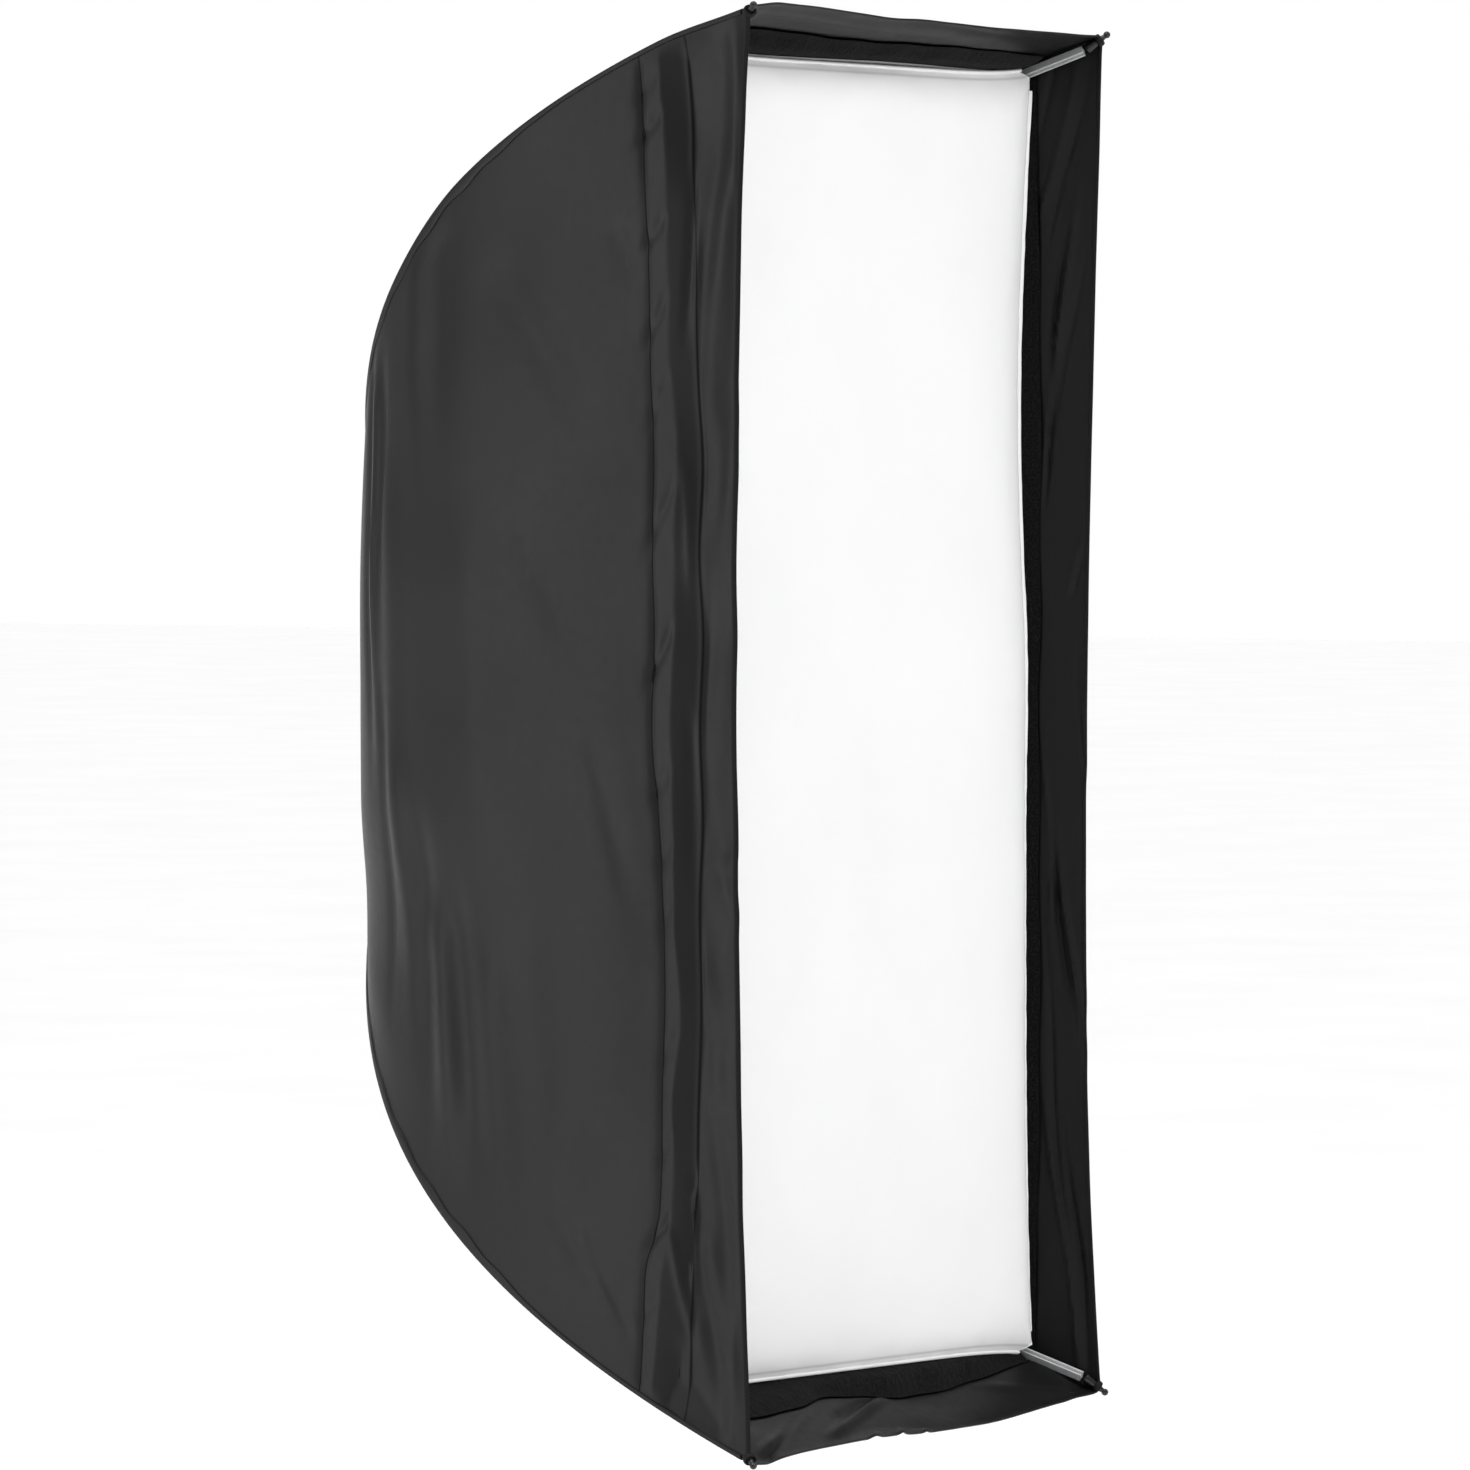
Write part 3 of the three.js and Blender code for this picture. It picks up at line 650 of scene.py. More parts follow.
def crease(depth, across, line, widen=1.0, raise_by=1.0):
    """Height of one crease at each point: a rounded ridge along a line, fading at both ends."""
    start_depth, start_across, end_depth, end_across, width, rise = (value * MM for value in line)
    run_depth, run_across = end_depth - start_depth, end_across - start_across
    length = math.hypot(run_depth, run_across)
    from_depth, from_across = depth - start_depth, across - start_across
    step = (from_depth * run_depth + from_across * run_across) / length**2
    wander = 1.5 * MM * np.sin(across * 37 + start_depth * 900)
    off = (from_depth * run_across - from_across * run_depth) / length + wander
    fade = smooth(step / 0.22) * smooth((1 - step) / 0.45)
    return rise * raise_by * fade * bell(off, width * widen)


NOISE_CELLS = 97


def value_noise(along, over, cell, seed):
    """Smooth noise between -1 and 1 on a square lattice that repeats after NOISE_CELLS cells."""
    table = np.random.default_rng(seed).uniform(-1, 1, (NOISE_CELLS, NOISE_CELLS))
    along, over = along / cell, over / cell
    column, row = np.floor(along).astype(int), np.floor(over).astype(int)
    right, up = smooth(along - column), smooth(over - row)
    corners = [table[(column + m) % NOISE_CELLS, (row + n) % NOISE_CELLS] for m in (0, 1) for n in (0, 1)]
    lower = corners[0] * (1 - right) + corners[2] * right
    upper = corners[1] * (1 - right) + corners[3] * right
    return lower * (1 - up) + upper * up


def line_noise(along, cell, seed):
    """Smooth noise that changes along one direction only."""
    return value_noise(along, np.zeros_like(along), cell, seed)


def puckers(depth, across, back, fold, seed):
    """Slanting gathers that the back stitch line pulls into the band before it, and a little behind it."""
    rng = np.random.default_rng(seed)
    height = np.zeros_like(depth)
    inside = (back - depth) / (back - fold)
    window = smooth((inside + 0.6) / 0.6) * smooth((1.1 - inside) / 0.4)
    for place in PUCKER_HEIGHTS:
        slant = rng.uniform(0.9, 2.0)
        width = rng.uniform(3.5, 8) * MM
        rise = -rng.uniform(0.35, 1.0) * MM
        off = across - place * MM - slant * (back - depth)
        height += rise * window * bell(off, width)
    return height


def hang(side, depth, front, back):
    """Height of the tape above the dome, which is negative: its front edge is drawn in."""
    return -FRONT_DRAW[side] * np.clip((back - depth) / (back - front), 0, 1)


def diffuser_pull(side, lean):
    """How far the stretched diffuser pulls the tape in between its corners."""
    if side in UPRIGHT:
        return (2.2 * MM if side == "right" else 0) * (1 - lean**4)
    return (2.0 * MM + 2.6 * MM * (1 + lean) / 2) * (1 - lean**6)


def tape_draw(side, depth, lean):
    """How far inside the bare dome the loop tape lies."""
    front, _, back = stitch_lines(side, lean)
    from_rib = 1 - np.abs(lean)
    at_diffuser = smooth((depth - front) / (9 * MM))
    draw = diffuser_pull(side, lean) * at_diffuser - hang(side, depth, front, back) * smooth(from_rib / 0.03)
    if side == "top":
        draw = draw + 1.8 * MM * smooth((0.6 - lean) / 1.2) * smooth(from_rib / 0.1) * at_diffuser
    if side not in UPRIGHT:
        draw = draw - level_swell(side, depth, lean) * smooth(from_rib / 0.2) * (1 - at_diffuser)
    return draw


def band_profile(side, depth, front, fold, back):
    """The stitched band: pinched at both stitch lines, and creased outwards between them. The lip ahead of it
    flares out again to the rim."""
    rise = np.where(depth >= fold, (back - depth) / (back - fold), (depth - front) / (fold - front))
    ridge = BAND_HEIGHT * np.clip(rise, 0, 1)
    pinch = 0.7 * MM * bell(depth - back, 1.8 * MM)
    pinch -= 0.5 * MM * bell(depth - front - 0.8 * MM, 1.2 * MM)
    ahead = np.clip((front - depth) / (30 * MM), 0, 1)
    flare = (FRONT_DRAW[side] + FLARE[side]) * (1.25 * ahead**2 - 0.25 * ahead)
    return hang(side, depth, front, back) + ridge - pinch + flare


# Near the shaft the cloth lies flat under the crown patch, and its relief fades in beyond that.
FLAT_AT_CROWN, CROWN_EASE = 34 * MM, 50 * MM
REAR_SWELL, REAR_SWELL_LOW = 4 * MM, -3 * MM
LIP_CREASE_SHAPE = {"left": (1.9, 0.6), "right": (0.5, 1.0)}
LEVEL_CREASES = {"top": TOP_CREASES, "bottom": BOTTOM_CREASES}


def relief(side, depth, across, lean, seed):
    """How far the cloth stands off the bare dome."""
    front, fold, back = stitch_lines(side, lean)
    fold = fold + 3 * MM * line_noise(across, 0.05, seed + 4)
    from_rib = 1 - np.abs(lean)
    swing = 1 + 0.5 * line_noise(across, 0.045, seed + 5)
    height = band_profile(side, depth, front, fold, back) * swing * smooth(from_rib / 0.03)
    behind = smooth((depth - back) / (10 * MM))
    ahead = smooth((front - depth) / (4 * MM))
    if side in UPRIGHT:
        turned = 1 if side == "left" else -1
        height += puckers(depth, across, back, fold, seed) * smooth(from_rib / 0.08)
        off_rib = smooth(from_rib / 0.1)
        for line in PANEL_CREASES:
            height += crease(depth, across * turned, line) * behind * off_rib
        for line in BAND_CREASES:
            height += crease(depth, across * turned, line) * (1 - ahead)
        behind_rim = smooth((depth - 5 * MM) / (9 * MM))
        for line in LIP_CREASES:
            height += crease(depth, across * turned, line, *LIP_CREASE_SHAPE[side]) * ahead * behind_rim
        low = smooth((-across - 0.05) / 0.1) * turned
        swell = REAR_SWELL + (REAR_SWELL_LOW - REAR_SWELL) * low
        height += swell * (1 - lean**2) * smooth((depth - 0.1) / 0.16)
    else:
        height += level_swell(side, depth, lean) * smooth(from_rib / 0.2)
        for line in LEVEL_CREASES[side]:
            height += crease(depth, across, line) * ahead * smooth(from_rib / 0.06)
    loose = smooth(from_rib / 0.25) * smooth((depth - back) / 0.05)
    height += 1.6 * MM * loose * value_noise(across, depth, 0.085, seed + 1)
    height += 0.12 * MM * loose * value_noise(across * 0.5, depth, 0.022, seed + 2)
    height += 0.3 * MM * ahead * value_noise(across * 0.35, depth, 0.011, seed + 6)
    height += 0.02 * MM * value_noise(across, depth, 0.009, seed + 3)
    from_shaft = spans(side)[0] * share_at(depth)
    height *= smooth((from_shaft - FLAT_AT_CROWN) / CROWN_EASE)
    room = 0.5 * MM + 0.16 * from_rib * spans(side)[1] * share_at(depth)
    return np.maximum(height, -room)


def level_swell(side, depth, lean):
    """The top fills out towards its left corner, and the bottom sags right of its middle."""
    near_rim = smooth((0.17 - depth) / 0.14)
    if side == "top":
        return near_rim * (3.2 * MM * bell(lean + 0.7, 0.4) + 0.5 * MM * (1 - lean**2))
    return near_rim * 6.5 * MM * bell(lean - 0.32, 0.45)


# ---- the cloth sides


def dome_rows(side, lean, stops, counts):
    """Shares of the grid's rows, column by column: straight steps between the front stops, then even steps of
    cloth from the last stop to the crown."""
    rows = []
    for (start, stop), count in zip(zip(stops[:-1], stops[1:]), counts):
        for step in np.linspace(0, 1, count, endpoint=False):
            rows.append(share_at(start + (stop - start) * step))
    span = spans(side)[0]
    shares = np.linspace(CROWN_HOLE, 1, 600)
    run = np.hypot(span * np.diff(shares), np.diff(depth_at(shares)))
    length = np.concatenate([[0], np.cumsum(run)])
    last = np.interp(share_at(stops[-1]), shares, length)
    for step in np.linspace(0, 1, counts[-1]):
        rows.append(np.interp(last * (1 - step), length, shares))
    return np.array(rows)


def dome_normals(bare):
    """Outward unit normals of a grid of points on the dome."""
    return grid_normals(bare, bare - np.array([0, RIM_Y, 0]))


def dome_grid(side):
    """One side's cloth on a grid: bare place, outward normal, depth, place across, and lean."""
    upright = side in UPRIGHT
    lean = np.linspace(-1, 1, 277 if upright else 181)
    near = 0.8 * MM
    front, fold, back = stitch_lines(side, lean)
    rim = rim_depth(side, lean)
    stops = [rim, rim + 1.2 * MM, front - 2 * near, front - near, front, front + near, front + 2 * near]
    stops += [fold - near, fold + near, back - 2 * near, back - near, back, back + near, back + 2 * near]
    counts = [1, 22, 1, 1, 1, 1, 8, 1, 8, 1, 1, 1, 1]
    if side == "bottom":
        stops += [np.full_like(lean, OPENING_FRONT), np.full_like(lean, OPENING_BACK)]
        counts += [8, 26]
    counts.append(100 if upright else 84 if side == "top" else 54)
    share = dome_rows(side, lean, stops, counts)
    leans = np.broadcast_to(lean, share.shape).copy()
    if side == "bottom":
        leans = around_opening(leans, share)
    bare = dome_point(side, share, leans)
    across = spans(side)[1] * share * leans
    return bare, dome_normals(bare), depth_at(share), across, leans


# The share of the bottom's columns that lie within the width of the stand's opening.
OPENING_COLUMNS = 0.3


def around_opening(lean, share):
    """Moves the columns of the bottom so that two of them run along the sides of the stand's opening."""
    wide = HALF_WIDTH * share
    inner = np.minimum(OPENING_REACH, OPENING_COLUMNS * wide)
    size = np.abs(lean)
    within = inner * size / OPENING_COLUMNS
    beyond = inner + (wide - inner) * (size - OPENING_COLUMNS) / (1 - OPENING_COLUMNS)
    return np.sign(lean) * np.where(size <= OPENING_COLUMNS, within, beyond) / wide


def corner_of(side, half):
    """The corner that a half of a side reaches. A half is -1 or 1, the sign of its lean."""
    sign = (SIGN[side], half) if side in UPRIGHT else (half, SIGN[side])
    return next(name for name, at in CORNERS.items() if at == sign)


def follow(piece, side):
    """Bakes the placement of a piece of half a side into its own mesh, where it stays."""
    if side in UPRIGHT:
        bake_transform(piece)
    else:
        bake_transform(piece)


HALF_NAMES = {"left": {1: "upper", -1: "lower"}, "right": {1: "upper", -1: "lower"}}
HALF_NAMES["top"] = HALF_NAMES["bottom"] = {1: "right", -1: "left"}


def cad_name(kind, side, half):
    """The CAD node that half a side's piece stands for."""
    return f"{kind}_{side}" if side in UPRIGHT else f"{kind}_{corner_of(side, half)}"


def half_columns(lean, half):
    """The columns of one half of a side, up to and with the middle one."""
    middle = lean.shape[1] // 2
    return slice(middle, None) if half > 0 else slice(0, middle + 1)


def arc_length(points):
    """Distance run down each column of a grid of points."""
    steps = np.linalg.norm(np.diff(points, axis=0), axis=2)
    return np.concatenate([np.zeros((1, points.shape[1])), np.cumsum(steps, axis=0)])


def clear_of_opening(depth, across):
    """Which quads of the bottom's cloth lie outside the stand's opening."""
    quad_depth = (depth[:-1, :-1] + depth[1:, 1:]) / 2
    quad_across = (across[:-1, :-1] + across[1:, 1:]) / 2
    between = (quad_depth > OPENING_FRONT) & (quad_depth < OPENING_BACK)
    return ~(between & (np.abs(quad_across) < OPENING_REACH))


def make_side(side, seed):
    """One gore of the shell, in two halves, with the bound edge at its front."""
    bare, bare_normal, depth, across, lean = dome_grid(side)
    height = relief(side, depth, across, lean, seed)
    outside = bare + bare_normal * height[..., None]
    normal = grid_normals(outside, bare_normal)
    inside = outside - normal * CLOTH
    run = arc_length(bare)
    uv = np.stack([across, run], axis=-1)
    front, _, back = stitch_lines(side, lean)
    stitching = np.maximum(
        np.clip(1 - np.abs(depth - back) / (0.7 * MM), 0, 1),
        0.75 * np.clip(1 - np.abs(depth - front) / (0.7 * MM), 0, 1),
    )
    for half in (-1, 1):
        columns = half_columns(lean, half)
        keep = clear_of_opening(depth[:, columns], across[:, columns]) if side == "bottom" else None
        # Ahead of the lining the inner faces take the inside nylon, painted darker as the shade inside the
        # recess.
        inner_rows = np.where(depth[:-1, columns].mean(axis=1) > LINING_FROM, 2, 1)
        name = f"cloth_{side}_{HALF_NAMES[side][half]}"
        piece, used = cloth_sheet(
            name,
            outside[:, columns],
            inside[:, columns],
            uv[:, columns],
            [cloth_out, cloth_in_painted_shade, lining],
            keep,
            inner_rows,
            stitching[:, columns],
        )
        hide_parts(cad_name("canopy", side, half))
        follow(piece, side)
        make_rim(side, half, outside[0, columns], normal[0, columns])


BINDING_THICK, BINDING_DEEP = 1.5 * MM, 3 * MM
BINDING_POINTS = 10


def make_rim(side, half, line, normal):
    """The bound front edge of half a side."""
    back = np.array([0, 1, 0])

    def profile(k):
        ring = []
        middle = line[k] - normal[k] * CLOTH / 2
        for turn in np.linspace(0, FULL_TURN, BINDING_POINTS, endpoint=False):
            out = normal[k] * (BINDING_THICK / 2 * math.cos(turn))
            ring.append(middle + out + back * (BINDING_DEEP / 2 * math.sin(turn)))
        return ring

    piece = swept(f"rim_binding_{side}_{HALF_NAMES[side][half]}", line, profile, [tape_black])
    follow(piece, side)


# ---- tapes inside the rim


def make_loop_tape(side, seed):
    """The fuzzy loop tape sewn round the inside of the rim."""
    across = spans(side)[1]
    margin = 12 * MM / across
    lean = np.linspace(-1 + margin, 1 - margin, 261 if side in UPRIGHT else 161)
    steps = np.linspace(0, 1, 20)[:, None]
    front = stitch_lines(side, lean)[0]
    depth = front + TAPE_WIDTH * steps
    share = share_at(depth)
    leans = np.broadcast_to(lean, share.shape).copy()
    bare = dome_point(side, share, leans)
    normal = dome_normals(bare)
    over = across * share * leans
    nap = 0.25 * MM * value_noise(over, depth, 0.0022, seed)
    nap += 0.3 * MM * value_noise(over, depth, 0.012, seed + 1)
    edge = smooth(np.minimum(steps, 1 - steps) / 0.08)
    bare = bare - normal * tape_draw(side, depth, leans)[..., None]
    outside = bare - normal * (1.3 * MM)
    inside = bare - normal * ((1.6 * MM) + (1.0 * MM + nap) * edge)[..., None]
    uv = np.stack([over, depth], axis=-1)
    for half in (-1, 1):
        columns = half_columns(leans, half)
        which = f"{side}_{HALF_NAMES[side][half]}"
        faces = outside[:, columns], inside[:, columns], uv[:, columns]
        piece, used = cloth_sheet(f"loop_tape_{which}_nap", *faces, [loop_black] * 2)
        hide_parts(cad_name("loop_tape", side, half))
        follow(piece, side)


# ---- seams along the ribs


SEAM_FRONT = 8 * MM
SCALLOP_LENGTH = 37 * MM


def unit(rows):
    """Rows of vectors, each scaled to a length of 1."""
    return rows / np.linalg.norm(rows, axis=1, keepdims=True)


def make_corner_seam(corner):
    """The felled seam over a rib, where two sides are sewn together."""
    sign_x, sign_z = CORNERS[corner]
    upright = "left" if sign_x < 0 else "right"
    level = "top" if sign_z > 0 else "bottom"
    span = math.hypot(HALF_WIDTH, HALF_HEIGHT)
    samples = np.linspace(CROWN_HOLE, float(share_at(SEAM_FRONT)), 500)
    run = np.concatenate([[0], np.cumsum(np.hypot(span * np.diff(samples), np.diff(depth_at(samples))))])
    place = np.linspace(0, run[-1], 150)
    share = np.interp(place, run, samples)
    line = dome_point(upright, share, np.full_like(share, sign_z))
    beside = 0.98
    on_upright = unit(dome_point(upright, share, np.full_like(share, sign_z * beside)) - line)
    on_level = unit(dome_point(level, share, np.full_like(share, sign_x * beside)) - line)
    tangent = unit(np.gradient(line, axis=0))
    out_upright = np.cross(tangent, on_upright)
    out_upright *= np.sign((out_upright * -on_level).sum(axis=1, keepdims=True))
    out_level = np.cross(tangent, on_level)
    out_level *= np.sign((out_level * -on_upright).sum(axis=1, keepdims=True))

    def profile(k):
        behind = float(smooth((0.86 - share[k]) / 0.12))
        scallop = 0.9 * MM * math.sin(place[k] * FULL_TURN / SCALLOP_LENGTH) * behind
        lap = (2.4 * MM + 4.2 * MM * behind) * float(smooth(share[k] / 0.2)) + scallop
        out = (out_upright[k] + out_level[k]) / np.linalg.norm(out_upright[k] + out_level[k])
        reach = [
            on_upright[k] * lap - out_upright[k] * 0.5 * MM,
            on_upright[k] * (lap - 0.3 * MM) + out_upright[k] * 0.7 * MM,
            on_upright[k] * (lap - 1.0 * MM) + out_upright[k] * 0.9 * MM,
            on_upright[k] * 0.6 * MM + out_upright[k] * 0.8 * MM,
            out * 0.7 * MM,
            on_level[k] * 0.6 * MM + out_level[k] * 0.8 * MM,
            on_level[k] * 2.6 * MM + out_level[k] * 1.0 * MM,
            on_level[k] * 3.6 * MM + out_level[k] * 0.9 * MM,
            on_level[k] * 4.2 * MM + out_level[k] * 0.15 * MM,
            on_level[k] * 1.5 * MM - out_level[k] * 0.4 * MM,
            on_upright[k] * 1.5 * MM - out_upright[k] * 0.4 * MM,
        ]
        return [line[k] + point for point in reach]

    piece = swept("seam_" + corner, line, profile, [cloth_out])
    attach(piece, "rib_" + corner)


def turned_about(name, axis_start, axis_end, profile, materials, segments=28):
    """A closed ring turned about a line, from points of radius and distance along it."""
    start, end = np.array(axis_start, float), np.array(axis_end, float)
    axis = (end - start) / np.linalg.norm(end - start)
    helper = np.array([0, 0, 1.0]) if abs(axis[2]) < 0.9 else np.array([1.0, 0, 0])
    first = np.cross(axis, helper)
    first /= np.linalg.norm(first)
    second = np.cross(axis, first)
    points = []
    for turn in np.linspace(0, FULL_TURN, segments, endpoint=False):
        direction = first * math.cos(turn) + second * math.sin(turn)
        for radius, along in profile:
            points.append(start + axis * along + direction * radius)
    count = len(profile)
    faces = []
    for here in range(segments):
        beyond = (here + 1) % segments
        for k in range(count):
            n = (k + 1) % count
            faces.append((here * count + k, beyond * count + k, beyond * count + n, here * count + n))
    round_it = np.repeat(np.linspace(0, 30 * MM, segments), count)
    over_it = np.tile(np.linspace(0, 10 * MM, count), segments)
    uv = np.stack([round_it, over_it], -1)
    return new_object(name, np.array(points), faces, materials, uv, sharp=60, closed=True)


def box_middle(node):
    low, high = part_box(node)
    return (low + high) / 2


LOOP_INNER, LOOP_OUTER, LOOP_LENGTH = 2.5 * MM, 3.7 * MM, 3.6 * MM


def make_corner_loop(corner):
    """The sewn loop that holds a corner of the cloth on its rib end."""
    node = "corner_loop_" + corner
    middle = np.array(box_middle(node))
    tip = np.array([CORNERS[corner][0] * HALF_WIDTH, RIM_Y, CORNERS[corner][1] * HALF_HEIGHT])
    axis = (tip - middle) / np.linalg.norm(tip - middle)
    profile = []
    for turn in np.linspace(0, FULL_TURN, 14, endpoint=False):
        radius = (LOOP_INNER + LOOP_OUTER) / 2 + (LOOP_OUTER - LOOP_INNER) / 2 * math.cos(turn)
        profile.append((radius, LOOP_LENGTH / 2 * (1 + math.sin(turn))))
    start = middle - axis * LOOP_LENGTH / 2
    piece = turned_about(node + "_cloth", start, tip, profile, [tape_black])
    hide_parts(node)
    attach(piece, "rib_" + corner)


# ---- diffuser

PANEL_DEPTH = {"top_left": 52 * MM, "top_right": 41 * MM, "bottom_left": 66 * MM, "bottom_right": 41 * MM}
PANEL_INSET = 4.6 * MM
PANEL_FORWARD = 7 * MM
PANEL_CORNER = 20 * MM
HEM_THICK, HEM_WIDE = 2.2 * MM, 3.4 * MM
HOOK_START, HOOK_WIDTH = 3 * MM, 16 * MM


def edge_depth(a, b):
    """Depth of the line where the diffuser meets the tape. a and b run from -1 to 1 across and up."""
    low = PANEL_DEPTH["bottom_left"] * (1 - a) / 2 + PANEL_DEPTH["bottom_right"] * (1 + a) / 2
    high = PANEL_DEPTH["top_left"] * (1 - a) / 2 + PANEL_DEPTH["top_right"] * (1 + a) / 2
    right = smooth((a + 1) / 2)
    dip = 3.0 * MM * (1 - b**4) + 3.5 * MM * bell(b - 0.5, 0.33) - 1.5 * MM * bell(b - 0.08, 0.16)
    return low * (1 - b) / 2 + high * (1 + b) / 2 + dip * right


def wall_reach(depth, a, b):
    """How far the diffuser's edge lies from the shaft, across and up, and how far it is lifted. Between its
    corners the cloth pulls in from the walls."""
    share = share_at(depth)
    lift = (LIFT_LOW + LIFT_HIGH) / 2 * depth
    pull_x = diffuser_pull("right", b) * smooth(a) + 1.1 * MM * smooth(-a)
    pull_z = diffuser_pull("top", a) * smooth((np.abs(b) - 0.5) / 0.5)
    return HALF_WIDTH * share - PANEL_INSET - pull_x, HALF_HEIGHT * share - PANEL_INSET - pull_z, lift


def make_diffuser():
    """The white front panel: it rounds forward from its edge, and is gathered a little along it."""
    steps_a = np.tanh(np.linspace(-2.2, 2.2, 121)) / np.tanh(2.2)
    steps_b = np.tanh(np.linspace(-2.6, 2.6, 221)) / np.tanh(2.6)
    a, b = np.meshgrid(steps_a, steps_b)
    depth = edge_depth(a, b)
    reach_x, reach_z, lift = wall_reach(depth, a, b)
    x, z = a * reach_x, b * reach_z
    over_x = np.maximum(np.abs(x) - (reach_x - PANEL_CORNER), 0)
    over_z = np.maximum(np.abs(z) - (reach_z - PANEL_CORNER), 0)
    length = np.hypot(over_x, over_z)
    shrink = np.where(length > PANEL_CORNER, PANEL_CORNER / np.maximum(length, 1e-9), 1)
    x = np.sign(x) * (np.abs(x) - over_x * (1 - shrink))
    z = np.sign(z) * (np.abs(z) - over_z * (1 - shrink))
    from_edge = np.minimum(reach_x - np.abs(x), reach_z - np.abs(z))
    softness = 7 * MM + 9 * MM * smooth(a) * smooth((b + 0.1) / 0.5)
    round_over = 1 - np.exp(-from_edge / softness)
    gathers = 0.3 * MM * value_noise(x, z, 0.006, 4) * np.exp(-from_edge / (6 * MM))
    soft = 1.4 * MM * value_noise(x, z, 0.11, 5) + 0.35 * MM * value_noise(x, z, 0.03, 6)
    pulls = 0.8 * MM * np.exp(-from_edge / (30 * MM)) * value_noise(x * 0.4 + z, z * 0.4 - x, 0.017, 8)
    depth = depth - PANEL_FORWARD * round_over + gathers + (soft + pulls) * round_over
    front = np.stack([x, RIM_Y + depth, z + lift], axis=-1)
    normal = grid_normals(front, np.array([0, -1, 0]))
    back = front - normal * 0.4 * MM
    # A grey line 4 mm inside the edge: partly the hem's stitching, partly painted shadow of the hem.
    stitching = 0.8 * bell(from_edge - 4 * MM, 0.7 * MM)
    uv = np.stack([x, z], axis=-1)
    piece, _ = cloth_sheet("diffuser_cloth", front, back, uv, [white_cloth] * 2, stitching=stitching)
    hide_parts("diffuser_panel")
    flatten(piece)
    length = 2 * float(reach_z.max())
    for side in SIDES:
        make_diffuser_edge(side)


def flatten(piece):
    """Rides with the diffuser, with a mesh of its own."""
    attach(piece, "diffuser")
    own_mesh(piece)


def edge_line(side, count):
    """The line along one side where the diffuser meets its tape, as places across and up, from -1 to 1."""
    end = 0.965 if side in UPRIGHT else 0.93
    run = np.linspace(-end, end, count)
    fixed = np.full(count, float(SIGN[side]))
    return (fixed, run) if side in UPRIGHT else (run, fixed)


def make_diffuser_edge(side):
    """One edge of the diffuser: a rolled hem in front, and the hook tape behind it."""
    upright = side in UPRIGHT
    count = 240 if upright else 150
    a, b = edge_line(side, count)
    depth = edge_depth(a, b)
    reach_x, reach_z, lift = wall_reach(depth, a, b)
    line = np.stack([a * reach_x, RIM_Y + depth, b * reach_z + lift], axis=-1)
    outward = np.array([SIGN[side], 0, 0]) if upright else np.array([0, 0, SIGN[side]])
    forward = np.array([0, -1, 0])
    length = run_along(line)
    gather = line_noise(length, 7 * MM, 30 + SIDES.index(side))

    def profile(k):
        pull = 1 + 0.12 * float(gather[k])
        ring = []
        for turn in np.linspace(0, FULL_TURN, 12, endpoint=False):
            across = outward * (HEM_THICK / 2 * math.cos(turn))
            ring.append(line[k] + across + forward * (HEM_WIDE / 2 * pull * math.sin(turn)))
        return ring

    hem = swept("diffuser_hem_" + side, line, profile, [white_cloth])
    flatten(hem)

    steps = np.linspace(0, 1, 14)[:, None]
    rows = depth + HOOK_START + HOOK_WIDTH * steps
    lean = (b if upright else a) * np.ones_like(steps)
    bare = dome_point(side, share_at(rows), lean)
    normal = dome_normals(bare)
    uv = np.stack([spans(side)[1] * lean, rows], axis=-1)
    draw = tape_draw(side, rows, lean)[..., None]
    outside, inside = bare - normal * (2.9 * MM + draw), bare - normal * (3.7 * MM + draw)
    hooks, _ = cloth_sheet("hook_rows_" + side, outside, inside, uv, [hook_white, white_cloth])
    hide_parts("hook_tape_" + side)
    flatten(hooks)


# ---- flap over the stand's opening, and crown patch


FLAP_LAP = 8 * MM


def make_flap():
    """The flap that closes the stand's opening from outside, hemmed."""
    low, high = OPENING_FRONT - FLAP_LAP, OPENING_BACK + FLAP_LAP
    reach = OPENING_REACH + FLAP_LAP
    steps = np.linspace(0, 1, 60)[:, None]
    across = np.linspace(-reach, reach, 45)[None, :] * np.ones_like(steps)
    depth = (low + (high - low) * steps) * np.ones_like(across)
    share = share_at(depth)
    lean = across / (HALF_WIDTH * share)
    bare = dome_point("bottom", share, lean)
    normal = dome_normals(bare)
    edge = np.minimum(np.minimum(depth - low, high - depth), reach - np.abs(across))
    sag = 1.6 * MM * smooth(edge / (25 * MM)) + 0.5 * MM * value_noise(across, depth, 0.03, 41)
    sag += relief("bottom", depth, across, lean, SEEDS["bottom"])
    hem = 0.5 * MM * smooth((7 * MM - edge) / (2 * MM))
    outside = bare + normal * (1.6 * MM + sag + hem)[..., None]
    inside = bare + normal * (0.7 * MM + sag)[..., None]
    stitching = bell(edge - 7.5 * MM, 0.7 * MM)
    uv = np.stack([across, depth], axis=-1)
    piece, _ = cloth_sheet("stand_flap_cloth", outside, inside, uv, [cloth_out, lining], stitching=stitching)
    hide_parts("stand_flap")
    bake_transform(piece)


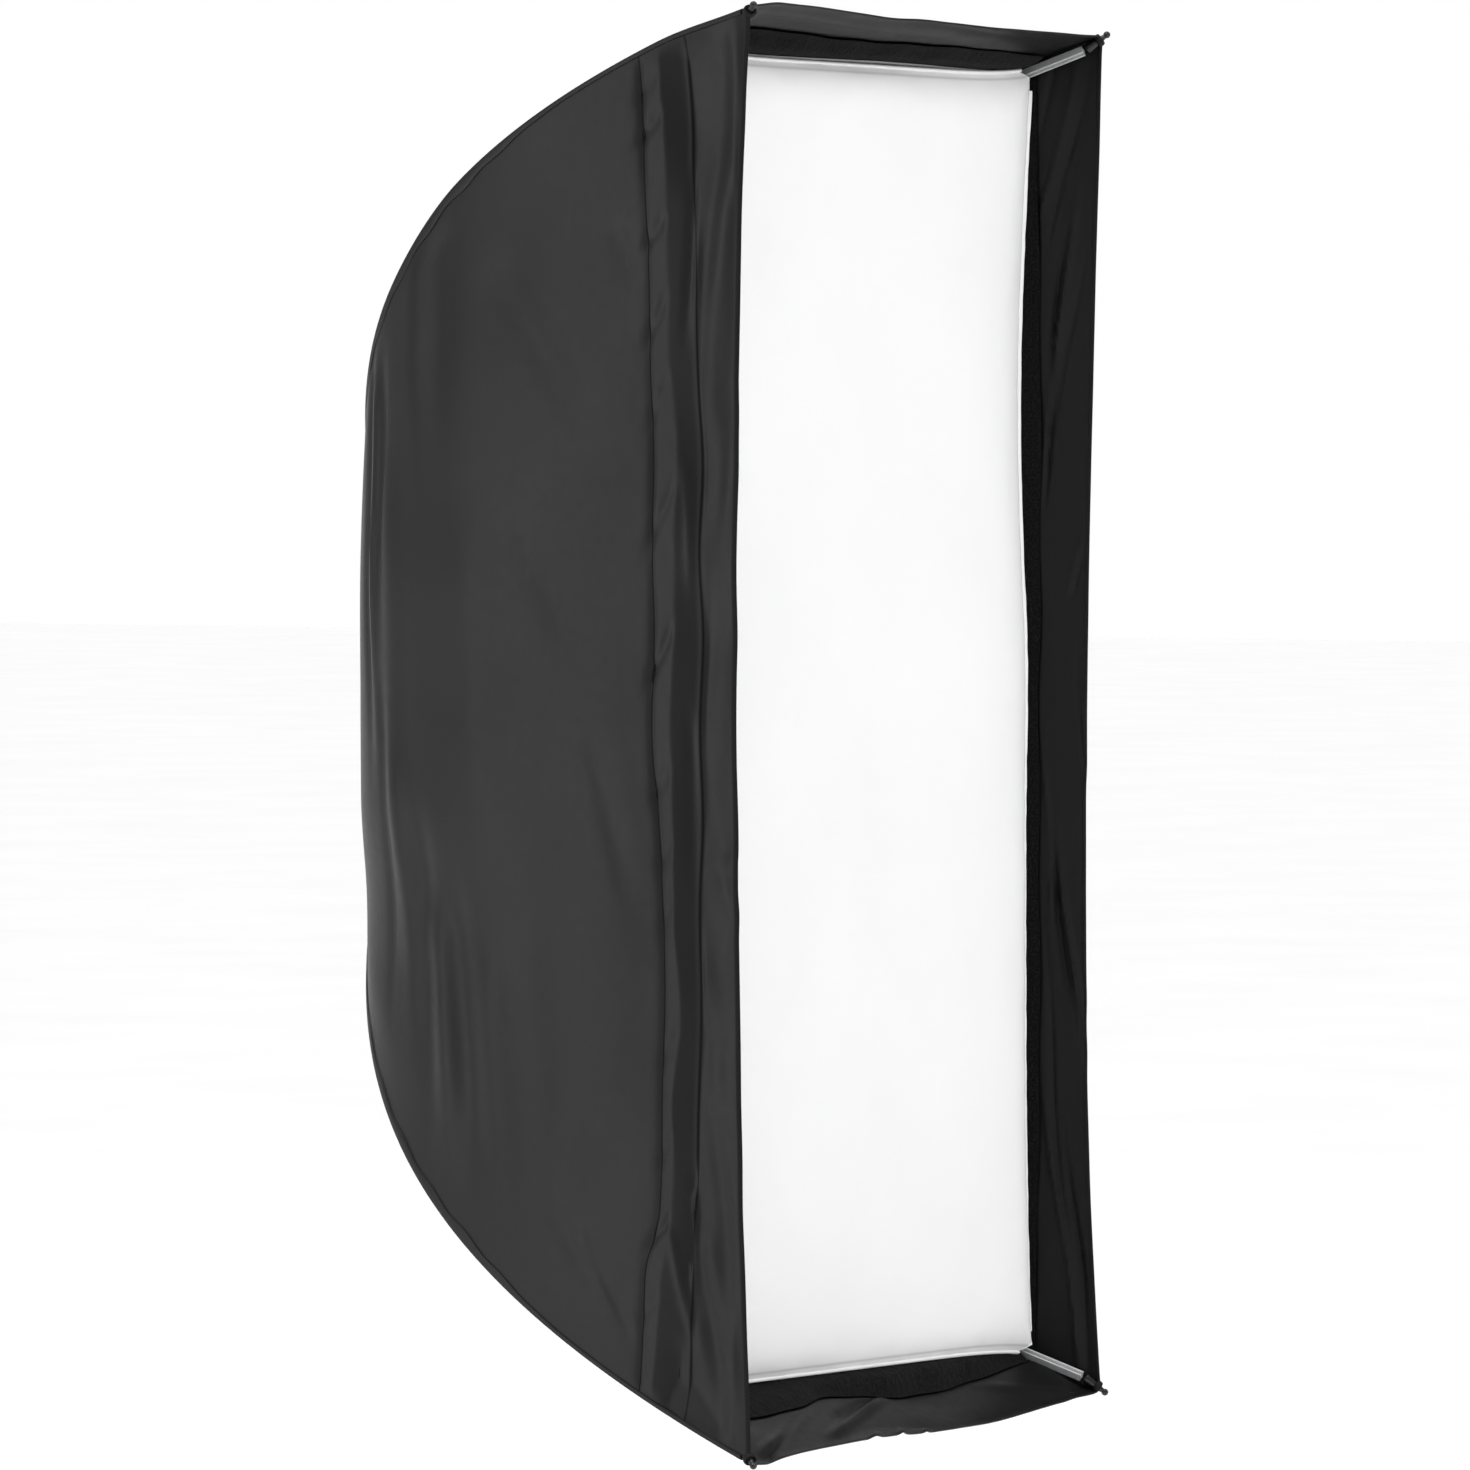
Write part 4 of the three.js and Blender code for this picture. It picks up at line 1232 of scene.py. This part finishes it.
def make_crown_patch():
    """A round reinforcement over the crown, sewn with two rings of stitches."""
    low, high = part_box("crown_patch")
    radius, hole = (high.x - low.x) / 2, 3.4 * MM
    rings = np.linspace(hole, radius, 26)[:, None]
    turns = np.linspace(0, FULL_TURN, 73)[None, :]
    x, z = rings * np.sin(turns), rings * np.cos(turns)
    share = np.maximum(np.abs(x) / HALF_WIDTH, np.abs(z) / HALF_HEIGHT)
    base = RIM_Y + depth_at(share)
    edge = radius - rings
    lip = 0.35 * MM * smooth((4 * MM - edge) / (1.5 * MM)) * np.ones_like(turns)
    outside = np.stack([x, base + 1.3 * MM + lip, z], axis=-1)
    inside = np.stack([x, base + 0.4 * MM, z], axis=-1)
    stitching = (bell(edge - 5 * MM, 0.6 * MM) + bell(edge - 9 * MM, 0.6 * MM)) * np.ones_like(turns)
    uv = np.stack([x, z], axis=-1)
    materials = [tape_black, lining]
    piece, _ = cloth_sheet("crown_patch_cloth", outside, inside, uv, materials, stitching=stitching)
    merge_seam(piece)
    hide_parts("crown_patch")
    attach(piece, "root")


def merge_seam(piece):
    """Joins the first and last column of a sheet that runs all the way round."""
    work = bmesh.new()
    work.from_mesh(piece.data)
    bmesh.ops.remove_doubles(work, verts=work.verts, dist=1e-6)
    inner = [face for face in work.faces if len({tuple(round(c, 6) for c in v.co) for v in face.verts}) < 4]
    bmesh.ops.delete(work, geom=inner, context="FACES")
    work.to_mesh(piece.data)
    work.free()


# ---- finish of the frame's own pieces

NODE_FINISH = {
    "shaft": shaft_steel,
    "shaft_end_cap": soft_rubber,
    "crown": black_plastic,
    "crown_washer": shaft_steel,
    "crown_cap": black_plastic,
    "stop_collar": dark_steel,
    "runner": black_plastic,
    "runner_sleeve": soft_rubber,
    "latch_button": shaft_steel,
    "latch_spring": dark_steel,
}
CORNER_FINISH = {
    "rib_": rib_steel,
    "rib_end_": black_plastic,
    "stretcher_": rib_steel,
    "rib_pin_": dark_steel,
    "runner_pin_": dark_steel,
    "joint_rivet_": dark_steel,
}


EDGE_ROUNDING = 0.12 * MM
EDGE_ANGLE = math.radians(35)


def finish_node(name, material):
    """Gives a piece of the frame its material, and softens its edges."""
    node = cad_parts[name]
    node.data.materials.clear()
    node.data.materials.append(material)
    softened = node.modifiers.new("softened_edges", "BEVEL")
    softened.width = EDGE_ROUNDING
    softened.segments = 2
    softened.limit_method = "ANGLE"
    softened.angle_limit = EDGE_ANGLE
    node.data.polygons.foreach_set("use_smooth", np.ones(len(node.data.polygons), bool))
    node.data.set_sharp_from_angle(angle=EDGE_ANGLE)


# The ribs' slope seen from the front; half the fork's width; radii and heights of a rivet's dome, mm.
RIB_BEARING = math.radians(62.2)
FORK_HALF = 3.75 * MM
RIVET_DOME = [(0.01, 0), (2.1, 0), (2.0, 0.5), (1.4, 0.9), (0.01, 1.05)]


def make_rivet_heads(corner):
    """The rivet's two domed heads, outside the stretcher's fork."""
    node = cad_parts["joint_rivet_" + corner]
    points = np.array([vertex.co for vertex in node.data.vertices])
    middle = (points.min(axis=0) + points.max(axis=0)) / 2
    sign_x, sign_z = CORNERS[corner]
    across = np.array([-sign_z * math.sin(RIB_BEARING), 0, sign_x * math.cos(RIB_BEARING)])
    profile = [(radius * MM, along * MM) for radius, along in RIVET_DOME]
    for number, way in enumerate((1, -1)):
        start = middle + across * way * FORK_HALF
        name = f"rivet_head_{corner}_{number}"
        head = turned_about(name, start, start + across * way, profile, [dark_steel], segments=18)
        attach(head, "stretcher_" + corner)


# ---- the softbox

bpy.context.scene.view_settings.view_transform = "Standard"
make_camera()
make_stage()
for side in SIDES:
    make_side(side, SEEDS[side])
    make_loop_tape(side, SEEDS[side] + 60)
for corner in CORNERS:
    make_corner_seam(corner)
    make_corner_loop(corner)
    make_rivet_heads(corner)
    for prefix, material in CORNER_FINISH.items():
        finish_node(prefix + corner, material)
for name, material in NODE_FINISH.items():
    finish_node(name, material)
make_diffuser()
make_flap()
make_crown_patch()
